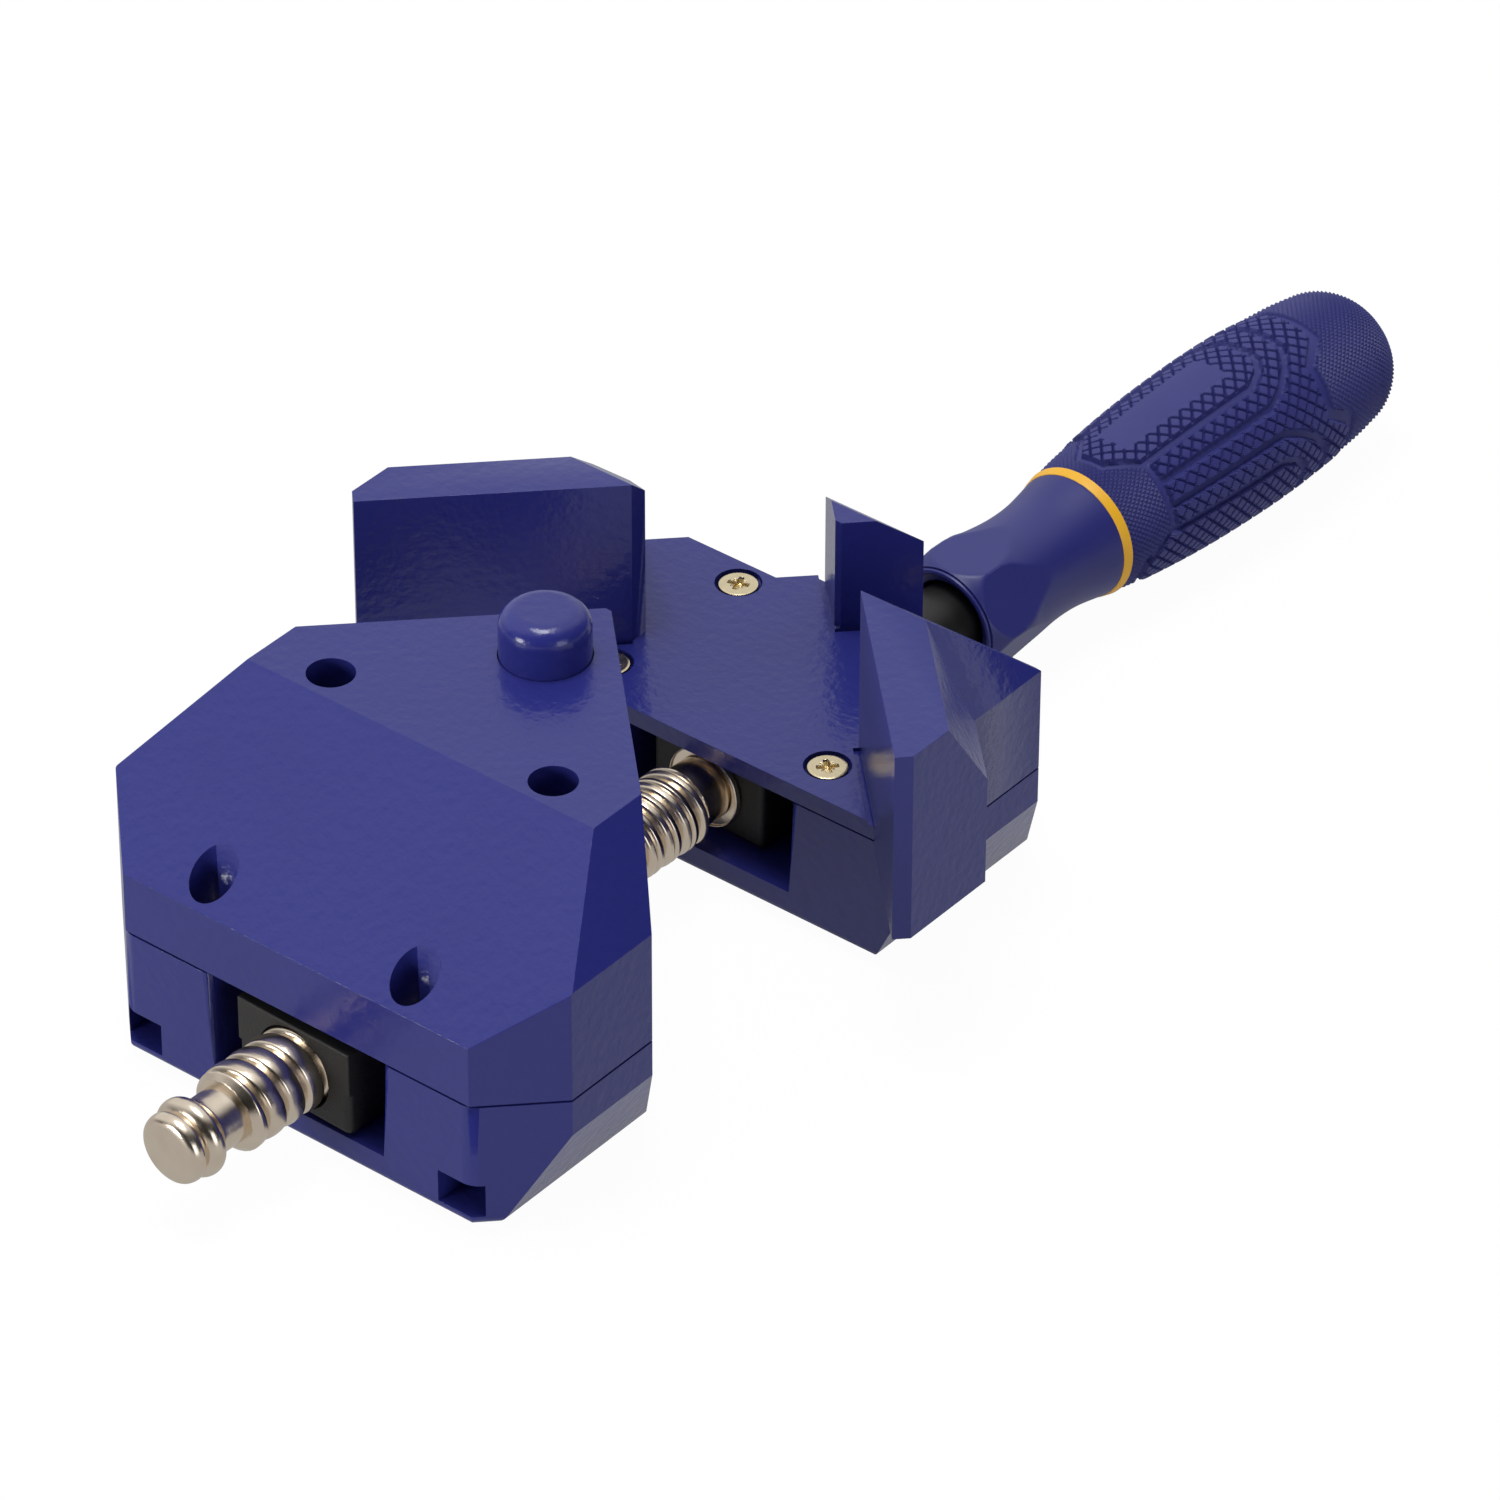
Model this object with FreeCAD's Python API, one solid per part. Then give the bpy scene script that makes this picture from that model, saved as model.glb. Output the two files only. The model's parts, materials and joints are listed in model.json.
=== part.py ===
import FreeCAD, Part
import math
import os

# Corner clamp. Millimetres, +Z up, +Y from the moving jaw towards the handle.
# The origin is where the two fixed jaw faces would meet, on the face the clamp stands on.

V = FreeCAD.Vector
X_AXIS = V(1, 0, 0)
Y_AXIS = V(0, 1, 0)
Z_AXIS = V(0, 0, 1)
ROOT2 = math.sqrt(2.0)
FAR = 400.0

# Castings shared by the moving jaw and the fixed body
block_half_width = 57.3
block_length = 53.5
corner_cut = 13.8
seam_z = 28.5
seam_gap = 0.4
seam_depth = 0.8
deck_thickness = 4.4
casting_wall = 4.0
roof_thickness = 4.5
side_band_z = 20.5
bottom_half_width = 47.5
floor_thickness = 6.0
window_half_width = 21.65
mouth_half_width = 25.7
mouth_depth = 5.5
corner_pocket_x = 35.3
corner_pocket_width = 10.2
corner_pocket_depth = 10.0
corner_pocket_z = 2.2
corner_pocket_height = 7.4
side_pocket_x = 26.0
side_pocket_y = 13.0
side_pocket_length = 24.0
side_pocket_floor = 4.0

# Screws that hold each pair of castings together
outer_screw_x = 25.35
outer_screw_y = 6.2
inner_screw_x = 27.9
inner_screw_y = 44.1
screw_head_radius = 3.85
screw_head_height = 2.4
screw_radius = 2.1
screw_length = 20.0
screw_clearance = 0.05
screw_slack = 0.2
screw_well_radius = 4.9
screw_seat_z = 30.3
screw_point_room = 1.5
cross_length = 4.4
cross_width = 0.9
cross_depth = 1.3

# Swivelling blocks round the spindle
axis_z = 16.5
swivel_inset = 28.0
swivel_block_half_width = 14.5
swivel_block_length = 46.7
swivel_block_half_height = 9.9
trunnion_radius = 8.0
trunnion_length = 4.3
trunnion_end_room = 0.4
running_clearance = 0.09
loose_clearance = 0.3
upper_trunnion_length = 4.9
trunnion_boss_radius = 12.0
trunnion_boss_drop = 1.6
block_dowel_radius = 2.0
block_dowel_length = 8.0
block_dowel_x = 11.7
block_dowel_inset = 5.0

# Moving jaw
jaw_top_z = 72.7
jaw_front_z = 42.7
jaw_slope_length = 37.4
jaw_side_facet_z = 54.1
jaw_side_facet_width = 13.9
nose_reach = 94.9
nose_blunt = 0.8
nose_clearance = 0.7
button_inset = 19.8

# Release button, lever and half nut
button_radius = 9.2
button_height = 10.5
button_edge = 4.0
button_press = 5.0
button_hole_clearance = 0.2
button_skirt = 8.0
button_stem_radius = 4.0
button_tab_width = 6.0
button_tab_reach = 3.3
button_tab_thickness = 2.4
lever_pivot_y = 44.0
lever_pivot_z = 44.0
lever_hub_radius = 4.6
lever_half_width = 7.6
lever_arm_thickness = 5.0
lever_pad_radius = 3.0
lever_rear_half_width = 3.6
lever_rear_rise = 6.0
lever_pin_radius = 2.0
lug_thickness = 4.0
lug_length = 10.0
lug_drop_z = 39.5
turret_radius = 14.0
turret_top_z = 38.0
turret_roof = 3.0
turret_ring_wall = 3.6
half_nut_half_width = 6.0
half_nut_half_length = 9.0
half_nut_bottom = 2.5
half_nut_top_z = 31.5
lift_stem_radius = 4.0
lift_head_radius = 6.6
lift_head_thickness = 2.5
lift_head_z = 46.0
lift_gap = 0.2
spring_coil_radius = 4.2
spring_wire_radius = 0.5
spring_turns = 4.0
spring_bridge_thickness = 2.4
spring_bridge_half_length = 6.5
contact_gap = 0.1

# Fixed body
base_rear_y = 6.6
jaw_start_x = 29.0
jaw_end_x = 68.2
jaw_wing_x = 70.8
jaw_outer_offset = 28.8
jaw_top_offset = 16.1
fixed_jaw_top_z = 70.8
fixed_facet_z = 51.9
fixed_wing_bottom_z = 27.2
tip_facet = 4.2
rear_slope_y = -28.8
rear_slope_end_y = -7.2
rear_slope_end_z = 52.3
side_facet_z = 52.3
side_facet_width = 12.3
wing_clearance = 0.4
tail_half_width = 20.5
tail_reach = 6.0
post_reach = 12.6
post_top_z = 58.7
post_flat_y = 5.8
post_rear_z = 53.1
post_blunt = 0.8
groove_width = 1.2
groove_depth = 0.8
groove_undercut = 0.4
groove_rise = 0.3
fixed_core_height = 13.5

# Spindle
spindle_tilt_deg = 1.85
pivot_spacing = 111.7
thread_radius = 8.8
thread_root_radius = 7.1
thread_pitch = 5.2
groove_root_width = 1.4
groove_crest_width = 3.0
thread_clearance = 0.15
turns_per_face = 3.0
spindle_tip_y = -195.9
spindle_tip_chamfer = 1.4
neck_start = 11.0
neck_length = 5.0
neck_radius = 6.9
thread_end_y = -48.0
shank_radius = 6.2
shank_end_y = 142.0
tang_flat = 5.2
tang_start_y = 60.0
front_ring_radius = 7.6
front_ring_thickness = 1.4
front_ring_groove = 0.6
thrust_washer_radius = 9.6
thrust_washer_thickness = 1.4
sleeve_radius = 8.2
sleeve_end_y = 43.0

# Handle, lengths measured from the band
band_y = 75.2
band_width = 3.2
band_proud = 0.25
band_flare = 0.6
collar_front = -41.6
collar_bore_radius = 11.6
collar_bore_depth = 11.0
collar_rim = 0.9
collar_flat_count = 6
collar_flats_across = 25.6
collar_flats_length = 23.6
collar_turn_deg = 59.0
grip_base_radius = 14.1
grip_wall = 3.0
grip_end = 99.0
dome_start = 86.0
dome_radius = 16.4
core_end = 90.0
# Distance from the band and radius, from the collar to the band
neck_profile = ((-36.2, 14.9), (-30.0, 14.6), (-24.5, 13.4), (-19.0, 12.8), (-12.5, 12.55), (-6.0, 12.8))
# Distance from the band and radius, from the band to the start of the dome
grip_profile = ((8.4, 15.8), (26.0, 17.6), (42.5, 18.4), (59.0, 18.5), (78.5, 17.4))

# Places worked out from the sizes above
deck_z = seam_z + deck_thickness
base_front_y = base_rear_y - block_length
base_pivot_y = base_rear_y - swivel_inset
block_top_z = axis_z + swivel_block_half_height
block_bottom_z = axis_z - swivel_block_half_height
tilt = math.radians(spindle_tilt_deg)
jaw_x = -pivot_spacing * math.sin(tilt)
jaw_y = base_pivot_y - pivot_spacing * math.cos(tilt) - swivel_inset
nut_pivot_y = base_pivot_y - pivot_spacing
screw_point_z = screw_seat_z - screw_length
button_y = nose_reach - button_inset
lever_front_arm = lever_pivot_y - swivel_inset
lever_rear_arm = button_y - lever_pivot_y
lever_pad_z = lift_head_z - lift_gap - lever_pad_radius
lever_rear_z = lever_pivot_z + lever_rear_rise
button_foot_z = lever_rear_z + lever_pad_radius + contact_gap
nose_bottom_z = deck_z + nose_clearance
spring_seat_z = nose_bottom_z + spring_bridge_thickness
block_rear_y = base_rear_y
block_front_y = base_rear_y - swivel_block_length


# Small shape makers
def box(x0, x1, y0, y1, z0, z1):
    return Part.makeBox(x1 - x0, y1 - y0, z1 - z0, V(x0, y0, z0))


def rod_z(radius, x, y, z0, z1):
    return Part.makeCylinder(radius, z1 - z0, V(x, y, z0), Z_AXIS)


def rod_y(radius, y0, y1, x=0.0, z=axis_z):
    return Part.makeCylinder(radius, y1 - y0, V(x, y0, z), Y_AXIS)


def rod_x(radius, x0, x1, y, z):
    return Part.makeCylinder(radius, x1 - x0, V(x0, y, z), X_AXIS)


def prism_z(points, z0, z1):
    wire = Part.makePolygon([V(x, y, z0) for x, y in points + points[:1]])
    return Part.Face(wire).extrude(V(0, 0, z1 - z0))


def prism_y(points, y0, y1):
    wire = Part.makePolygon([V(x, y0, z) for x, z in points + points[:1]])
    return Part.Face(wire).extrude(V(0, y1 - y0, 0))


def prism_x(points, x0, x1):
    wire = Part.makePolygon([V(x0, y, z) for y, z in points + points[:1]])
    return Part.Face(wire).extrude(V(x1 - x0, 0, 0))


def both_sides(points):
    """A right-hand outline, front to back, closed by its mirror image."""
    return points + [(-x, y) for x, y in reversed(points)]


def mirror_x(shape):
    return shape.mirror(V(0, 0, 0), X_AXIS)


def pair(shape):
    return [shape, mirror_x(shape)]


def join(shapes):
    first, rest = shapes[0], list(shapes[1:])
    return first.fuse(rest).removeSplitter() if rest else first


def moved(shape, x=0.0, y=0.0, z=0.0):
    copy = shape.copy()
    copy.translate(V(x, y, z))
    return copy


def turned(shape, degrees, centre, axis=Z_AXIS):
    copy = shape.copy()
    copy.rotate(centre, axis, degrees)
    return copy


def as_base(shape):
    """Turn a shape from its own outer end round to the fixed body's place."""
    return moved(turned(shape, 180.0, V(0, 0, 0)), 0, base_rear_y, 0)


def as_jaw(shape):
    return moved(shape, jaw_x, jaw_y, 0)


def on_spindle(shape):
    """Swing a shape that was drawn straight along Y to the spindle's rest angle."""
    return turned(shape, -spindle_tilt_deg, V(0, base_pivot_y, 0))


# Lower casting, drawn from its outer end, used for the fixed body and the moving jaw
def block_outline(inset, length):
    w = block_half_width - inset
    a = block_half_width - corner_cut - inset * ROOT2
    return both_sides([(a + inset, inset), (w, w - a), (w, length - inset)])


def screw_places():
    return [(sx * x, y) for sx in (1, -1) for x, y in ((outer_screw_x, outer_screw_y), (inner_screw_x, inner_screw_y))]


def lower_casting():
    body = prism_z(block_outline(0.0, block_length), 0.0, seam_z)
    slope = (block_half_width - bottom_half_width) / side_band_z
    undercut = prism_y([(bottom_half_width - slope * FAR, -FAR), (block_half_width, side_band_z),
                        (FAR, side_band_z), (FAR, -FAR)], -FAR, FAR)
    cuts = pair(undercut)
    cuts.append(box(-window_half_width, window_half_width, -1, block_length + 1, floor_thickness, seam_z + 1))
    mouth_y = block_length - mouth_depth
    cuts.append(box(-mouth_half_width, mouth_half_width, mouth_y, block_length + 1, floor_thickness, seam_z + 1))
    bore_bottom = block_bottom_z - trunnion_length - trunnion_end_room
    cuts.append(rod_z(trunnion_radius + running_clearance, 0, swivel_inset, bore_bottom, floor_thickness + 1))
    cuts += pair(box(corner_pocket_x, corner_pocket_x + corner_pocket_width, -1, corner_pocket_depth,
                     corner_pocket_z, corner_pocket_z + corner_pocket_height))
    pocket_x = bottom_half_width + slope * side_pocket_floor - casting_wall
    cuts += pair(box(side_pocket_x, pocket_x, side_pocket_y, side_pocket_y + side_pocket_length,
                     side_pocket_floor, seam_z + 1))
    for x, y in screw_places():
        cuts.append(rod_z(screw_radius + screw_clearance, x, y, screw_point_z - screw_point_room, seam_z + 1))
    return body.cut(cuts).removeSplitter()


def jaw_lower_casting():
    """The same casting with its inner corners cut back in line with the nose."""
    return lower_casting().common(prism_z(jaw_outline(0.0), 0.0, seam_z))


def casting_screw(x, y):
    shank = rod_z(screw_radius, x, y, screw_point_z, screw_seat_z)
    head = rod_z(screw_head_radius, x, y, screw_seat_z, screw_seat_z + screw_head_height)
    head_top = screw_seat_z + screw_head_height
    slot = box(x - cross_length / 2, x + cross_length / 2, y - cross_width / 2, y + cross_width / 2,
               head_top - cross_depth, head_top + 1)
    cross = [slot, turned(slot, 90.0, V(x, y, 0))]
    return join([shank, head]).cut(cross)


def casting_screws():
    return Part.makeCompound([casting_screw(x, y) for x, y in screw_places()])


def screw_wells(top_z):
    wells = []
    for x, y in screw_places():
        wells.append(rod_z(screw_well_radius, x, y, screw_seat_z, top_z))
        wells.append(rod_z(screw_radius + screw_slack, x, y, seam_z - 1, screw_seat_z + 1))
    return wells


# Moving jaw, drawn from its front face
def jaw_outline(inset):
    w = block_half_width - inset
    a = block_half_width - corner_cut - inset * ROOT2
    reach = nose_reach - inset * ROOT2
    return both_sides([(a + inset, inset), (w, w - a), (w, reach - w), (nose_blunt, reach - nose_blunt)])


def jaw_hull(inset, roof, bottom_z):
    """The jaw's outer form, or the hollow inside it when inset and roof are not zero."""
    plan = prism_z(jaw_outline(inset), bottom_z, jaw_top_z - roof)
    rise = (jaw_top_z - jaw_front_z) / jaw_slope_length
    drop = roof * math.sqrt(1 + rise * rise)
    front = [(-FAR, bottom_z - FAR), (FAR, bottom_z - FAR), (FAR, jaw_top_z + FAR * rise - drop),
             (jaw_slope_length + FAR, jaw_top_z + FAR * rise - drop), (-FAR, jaw_front_z - FAR * rise - drop)]
    side_rise = (jaw_top_z - jaw_side_facet_z) / jaw_side_facet_width
    side_drop = roof * math.sqrt(1 + side_rise * side_rise)
    peak = jaw_side_facet_z + block_half_width * side_rise - side_drop
    sides = [(-FAR, peak - FAR * side_rise), (0, peak), (FAR, peak - FAR * side_rise), (FAR, -FAR * 4), (-FAR, -FAR * 4)]
    return plan.common(prism_x(front, -FAR, FAR)).common(prism_y(sides, -FAR, FAR))


def nose_relief():
    """What the nose leaves free, so that it can slide over the fixed body's deck."""
    return box(-FAR, FAR, block_length, FAR, 0, nose_bottom_z)


def jaw_upper_casting():
    outer = jaw_hull(0.0, 0.0, seam_z)
    hollow = jaw_hull(casting_wall, roof_thickness, seam_z - 1)
    ring = rod_z(turret_radius + running_clearance + turret_ring_wall, 0, swivel_inset, seam_z, FAR)
    column_radius = screw_well_radius + casting_wall * 0.6
    columns = [rod_z(column_radius, x, y, seam_z, FAR) for x, y in screw_places()]
    lug_x = lever_half_width + loose_clearance
    lugs = pair(box(lug_x, lug_x + lug_thickness, lever_pivot_y - lug_length / 2, lever_pivot_y + lug_length / 2,
                    lug_drop_z, FAR))
    bridge = box(-FAR, FAR, button_y - spring_bridge_half_length, button_y + spring_bridge_half_length,
                 nose_bottom_z, spring_seat_z)
    inside = join([ring, bridge] + columns + lugs).common(outer)
    body = join([outer.cut(hollow), inside])
    cuts = screw_wells(FAR)
    cuts.append(rod_z(turret_radius + running_clearance, 0, swivel_inset, 0, turret_top_z + 1))
    head_room = lift_head_z + lift_head_thickness + button_press * lever_front_arm / lever_rear_arm + 1
    cuts.append(rod_z(lift_head_radius + 1, 0, swivel_inset, 0, head_room))
    lever_slot_x = lever_half_width + loose_clearance
    slot_y = swivel_inset - lever_pad_radius - 1
    cuts.append(box(-lever_slot_x, lever_slot_x, slot_y, lever_pivot_y + lever_hub_radius, turret_top_z, head_room))
    cuts.append(rod_x(lever_pin_radius + screw_clearance, -lug_x - lug_thickness - 1, lug_x + lug_thickness + 1,
                      lever_pivot_y, lever_pivot_z))
    cuts.append(rod_z(button_radius + button_hole_clearance, 0, button_y, jaw_top_z - roof_thickness - 1, FAR))
    cuts.append(nose_relief())
    rebate_out = prism_z(jaw_outline(-1.0), seam_z - 1, seam_z + seam_gap)
    rebate_in = prism_z(jaw_outline(seam_depth), seam_z - 2, seam_z + seam_gap + 1)
    cuts.append(rebate_out.cut(rebate_in))
    return body.cut(cuts).removeSplitter()


def release_button():
    top = jaw_top_z + button_height
    skirt_z = jaw_top_z - button_skirt
    cap = rod_z(button_radius, 0, button_y, skirt_z, top)
    rim = [edge for edge in cap.Edges if edge.BoundBox.ZMin > top - 0.01 and edge.BoundBox.XLength > button_radius]
    cap = cap.makeFillet(button_edge, rim)
    stem = rod_z(button_stem_radius, 0, button_y, button_foot_z, skirt_z)
    tab_top = jaw_top_z - roof_thickness - contact_gap
    tab_y = button_y - button_radius
    tab = box(-button_tab_width / 2, button_tab_width / 2, tab_y - button_tab_reach, tab_y + 1,
              tab_top - button_tab_thickness, tab_top)
    return join([cap, stem, tab])


def release_lever():
    pivot = (lever_pivot_y, lever_pivot_z)
    hub = rod_x(lever_hub_radius, -lever_half_width, lever_half_width, *pivot)
    half = lever_arm_thickness / 2
    front = prism_x([(swivel_inset, lever_pad_z - half), (lever_pivot_y, lever_pivot_z - half),
                     (lever_pivot_y, lever_pivot_z + half), (swivel_inset, lever_pad_z + half)],
                    -lever_half_width, lever_half_width)
    pad = rod_x(lever_pad_radius, -lever_half_width, lever_half_width, swivel_inset, lever_pad_z)
    rear = prism_x([(lever_pivot_y, lever_pivot_z - half), (button_y, lever_rear_z - half),
                    (button_y, lever_rear_z + half), (lever_pivot_y, lever_pivot_z + half)],
                   -lever_rear_half_width, lever_rear_half_width)
    rear_pad = rod_x(lever_pad_radius, -lever_rear_half_width, lever_rear_half_width, button_y, lever_rear_z)
    fork_x = lift_stem_radius + loose_clearance
    fork = box(-fork_x, fork_x, 0, swivel_inset + lift_stem_radius + 2, 0, FAR)
    bore = rod_x(lever_pin_radius + running_clearance, -FAR, FAR, *pivot)
    return join([hub, front, pad, rear, rear_pad]).cut([fork, bore])


def lever_pin():
    reach = lever_half_width + loose_clearance + lug_thickness
    return rod_x(lever_pin_radius, -reach, reach, lever_pivot_y, lever_pivot_z)


def release_spring():
    top = lever_rear_z - lever_pad_radius - contact_gap
    height = top - spring_seat_z - 2 * spring_wire_radius
    helix = Part.makeHelix(height / spring_turns, height, spring_coil_radius)
    start = helix.Edges[0].valueAt(helix.Edges[0].FirstParameter)
    section = Part.Wire([Part.makeCircle(spring_wire_radius, start, Y_AXIS)])
    coil = Part.Wire(helix.Edges).makePipeShell([section], True, True)
    return moved(coil, 0, button_y, spring_seat_z + spring_wire_radius)


# Thread
def threaded_rod(turns, play):
    """A rod along +Y, threaded from y = 0 for whole turns; play grows it all round, to cut the nut."""
    rod_start = -thread_pitch
    rod = Part.makeCylinder(thread_radius + play, (turns + 2) * thread_pitch, V(0, 0, rod_start), Z_AXIS)
    root = thread_root_radius + play
    crest = thread_radius + play + 1.0
    widen = (groove_crest_width - groove_root_width) / (thread_radius - thread_root_radius)
    root_half = groove_root_width / 2 - play
    crest_half = root_half + widen / 2 * (crest - root)
    corners = [V(root, 0, -root_half), V(root, 0, root_half), V(crest, 0, crest_half), V(crest, 0, -crest_half)]
    section = Part.makePolygon(corners + corners[:1])
    helix = Part.makeHelix(thread_pitch, turns * thread_pitch, thread_radius + play)
    groove = Part.Wire(helix.Edges).makePipeShell([section], True, True)
    return turned(rod.cut(groove), -90.0, V(0, 0, 0), X_AXIS)


def threaded_stretch(start, end):
    """The thread from start to end, put together from short lengths so that no one face winds round many times."""
    turns = math.ceil((end - start) / thread_pitch) + 2
    rod = moved(threaded_rod(turns, 0.0), 0, start - thread_pitch, axis_z)
    count = math.ceil((end - start) / thread_pitch / turns_per_face)
    step = (end - start) / count
    lengths = [rod.common(box(-FAR, FAR, start + step * k, start + step * (k + 1), -FAR, FAR)) for k in range(count)]
    return lengths[0].fuse(lengths[1:])


def spindle_screw():
    threaded = threaded_stretch(spindle_tip_y, thread_end_y)
    neck_y = spindle_tip_y + neck_start
    ring = rod_y(thread_radius + 1, neck_y, neck_y + neck_length)
    neck = ring.cut(rod_y(neck_radius, neck_y - 1, neck_y + neck_length + 1))
    tip_ring = rod_y(thread_radius + 1, spindle_tip_y - 1, spindle_tip_y + spindle_tip_chamfer)
    cone = Part.makeCone(thread_radius - spindle_tip_chamfer - 1, thread_radius, spindle_tip_chamfer + 1,
                         V(0, spindle_tip_y - 1, axis_z), Y_AXIS)
    threaded = threaded.cut(neck).cut(tip_ring.cut(cone))
    shank = rod_y(shank_radius, thread_end_y - 1, shank_end_y)
    flats = [box(-FAR, FAR, tang_start_y, shank_end_y + 1, axis_z + tang_flat, FAR),
             box(-FAR, FAR, tang_start_y, shank_end_y + 1, -FAR, axis_z - tang_flat)]
    ring_y = block_front_y - loose_clearance - front_ring_thickness
    groove = rod_y(shank_radius + 1, ring_y, ring_y + front_ring_thickness)
    groove = groove.cut(rod_y(shank_radius - front_ring_groove, ring_y - 1, ring_y + front_ring_thickness + 1))
    return threaded.fuse(shank.cut(flats + [groove]))


def front_ring():
    y0 = block_front_y - loose_clearance - front_ring_thickness
    ring = rod_y(front_ring_radius, y0, y0 + front_ring_thickness)
    hole = rod_y(shank_radius - front_ring_groove + screw_clearance, y0 - 1, y0 + front_ring_thickness + 1)
    gap = box(-shank_radius * 0.6, shank_radius * 0.6, -FAR, FAR, -FAR, axis_z)
    return ring.cut([hole, gap])


def half_nut():
    y0 = nut_pivot_y - half_nut_half_length
    y1 = nut_pivot_y + half_nut_half_length
    block = box(-half_nut_half_width, half_nut_half_width, y0, y1, axis_z + half_nut_bottom, half_nut_top_z)
    turns_before = math.floor((y0 - spindle_tip_y) / thread_pitch) - 1
    turns = math.ceil((y1 - y0) / thread_pitch) + 3
    tool = moved(threaded_rod(turns, thread_clearance), 0, spindle_tip_y + turns_before * thread_pitch, axis_z)
    return block.cut(tool)


def lift_stem():
    return rod_z(lift_stem_radius, 0, nut_pivot_y, half_nut_top_z, lift_head_z)


def lift_cap():
    return rod_z(lift_head_radius, 0, nut_pivot_y, lift_head_z, lift_head_z + lift_head_thickness)


# Swivelling blocks, drawn with the pivot at y = 0 and the outer end towards -Y
def block_half(upper):
    outer_y = -swivel_inset
    inner_y = swivel_block_length - swivel_inset
    z0, z1 = (axis_z, block_top_z) if upper else (block_bottom_z, axis_z)
    return box(-swivel_block_half_width, swivel_block_half_width, outer_y, inner_y, z0, z1)


def dowel_places():
    ends = (-swivel_inset + block_dowel_inset, swivel_block_length - swivel_inset - block_dowel_inset)
    return [(sx * block_dowel_x, y) for sx in (1, -1) for y in ends]


def dowel_holes():
    half = block_dowel_length / 2 + screw_slack
    return [rod_z(block_dowel_radius + screw_clearance, x, y, axis_z - half, axis_z + half) for x, y in dowel_places()]


def dowels():
    half = block_dowel_length / 2
    return Part.makeCompound([rod_z(block_dowel_radius, x, y, axis_z - half, axis_z + half) for x, y in dowel_places()])


def lower_block(bore_radius):
    trunnion = rod_z(trunnion_radius, 0, 0, block_bottom_z - trunnion_length, block_bottom_z)
    body = join([block_half(False), trunnion])
    return body.cut([rod_y(bore_radius, -FAR, FAR)] + dowel_holes())


def thrust_upper_block(bore_radius):
    trunnion = rod_z(trunnion_radius, 0, 0, block_top_z, block_top_z + upper_trunnion_length)
    body = join([block_half(True), trunnion])
    return body.cut([rod_y(bore_radius, -FAR, FAR)] + dowel_holes())


def nut_upper_block(bore_radius):
    turret = rod_z(turret_radius, 0, 0, block_top_z, turret_top_z)
    body = join([block_half(True), turret])
    gap = running_clearance * 2
    half_x = half_nut_half_width + gap
    half_y = half_nut_half_length + gap
    pocket = box(-half_x, half_x, -half_y, half_y, axis_z - 1, turret_top_z - turret_roof)
    stem_hole = rod_z(lift_stem_radius + running_clearance, 0, 0, axis_z, FAR)
    return body.cut([rod_y(bore_radius, -FAR, FAR), pocket, stem_hole] + dowel_holes())


def to_base_pivot(shape):
    return on_spindle(moved(turned(shape, 180.0, V(0, 0, 0)), 0, base_pivot_y, 0))


def to_nut_pivot(shape):
    return on_spindle(moved(shape, 0, nut_pivot_y, 0))


# Fixed body
def base_outline():
    w = block_half_width
    a = w - corner_cut
    tail_x = tail_half_width - tail_reach
    right = [(w, base_front_y), (w, base_rear_y - corner_cut), (a, base_rear_y), (tail_half_width, base_rear_y),
             (tail_x, base_rear_y + tail_reach)]
    return both_sides(right)


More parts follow.
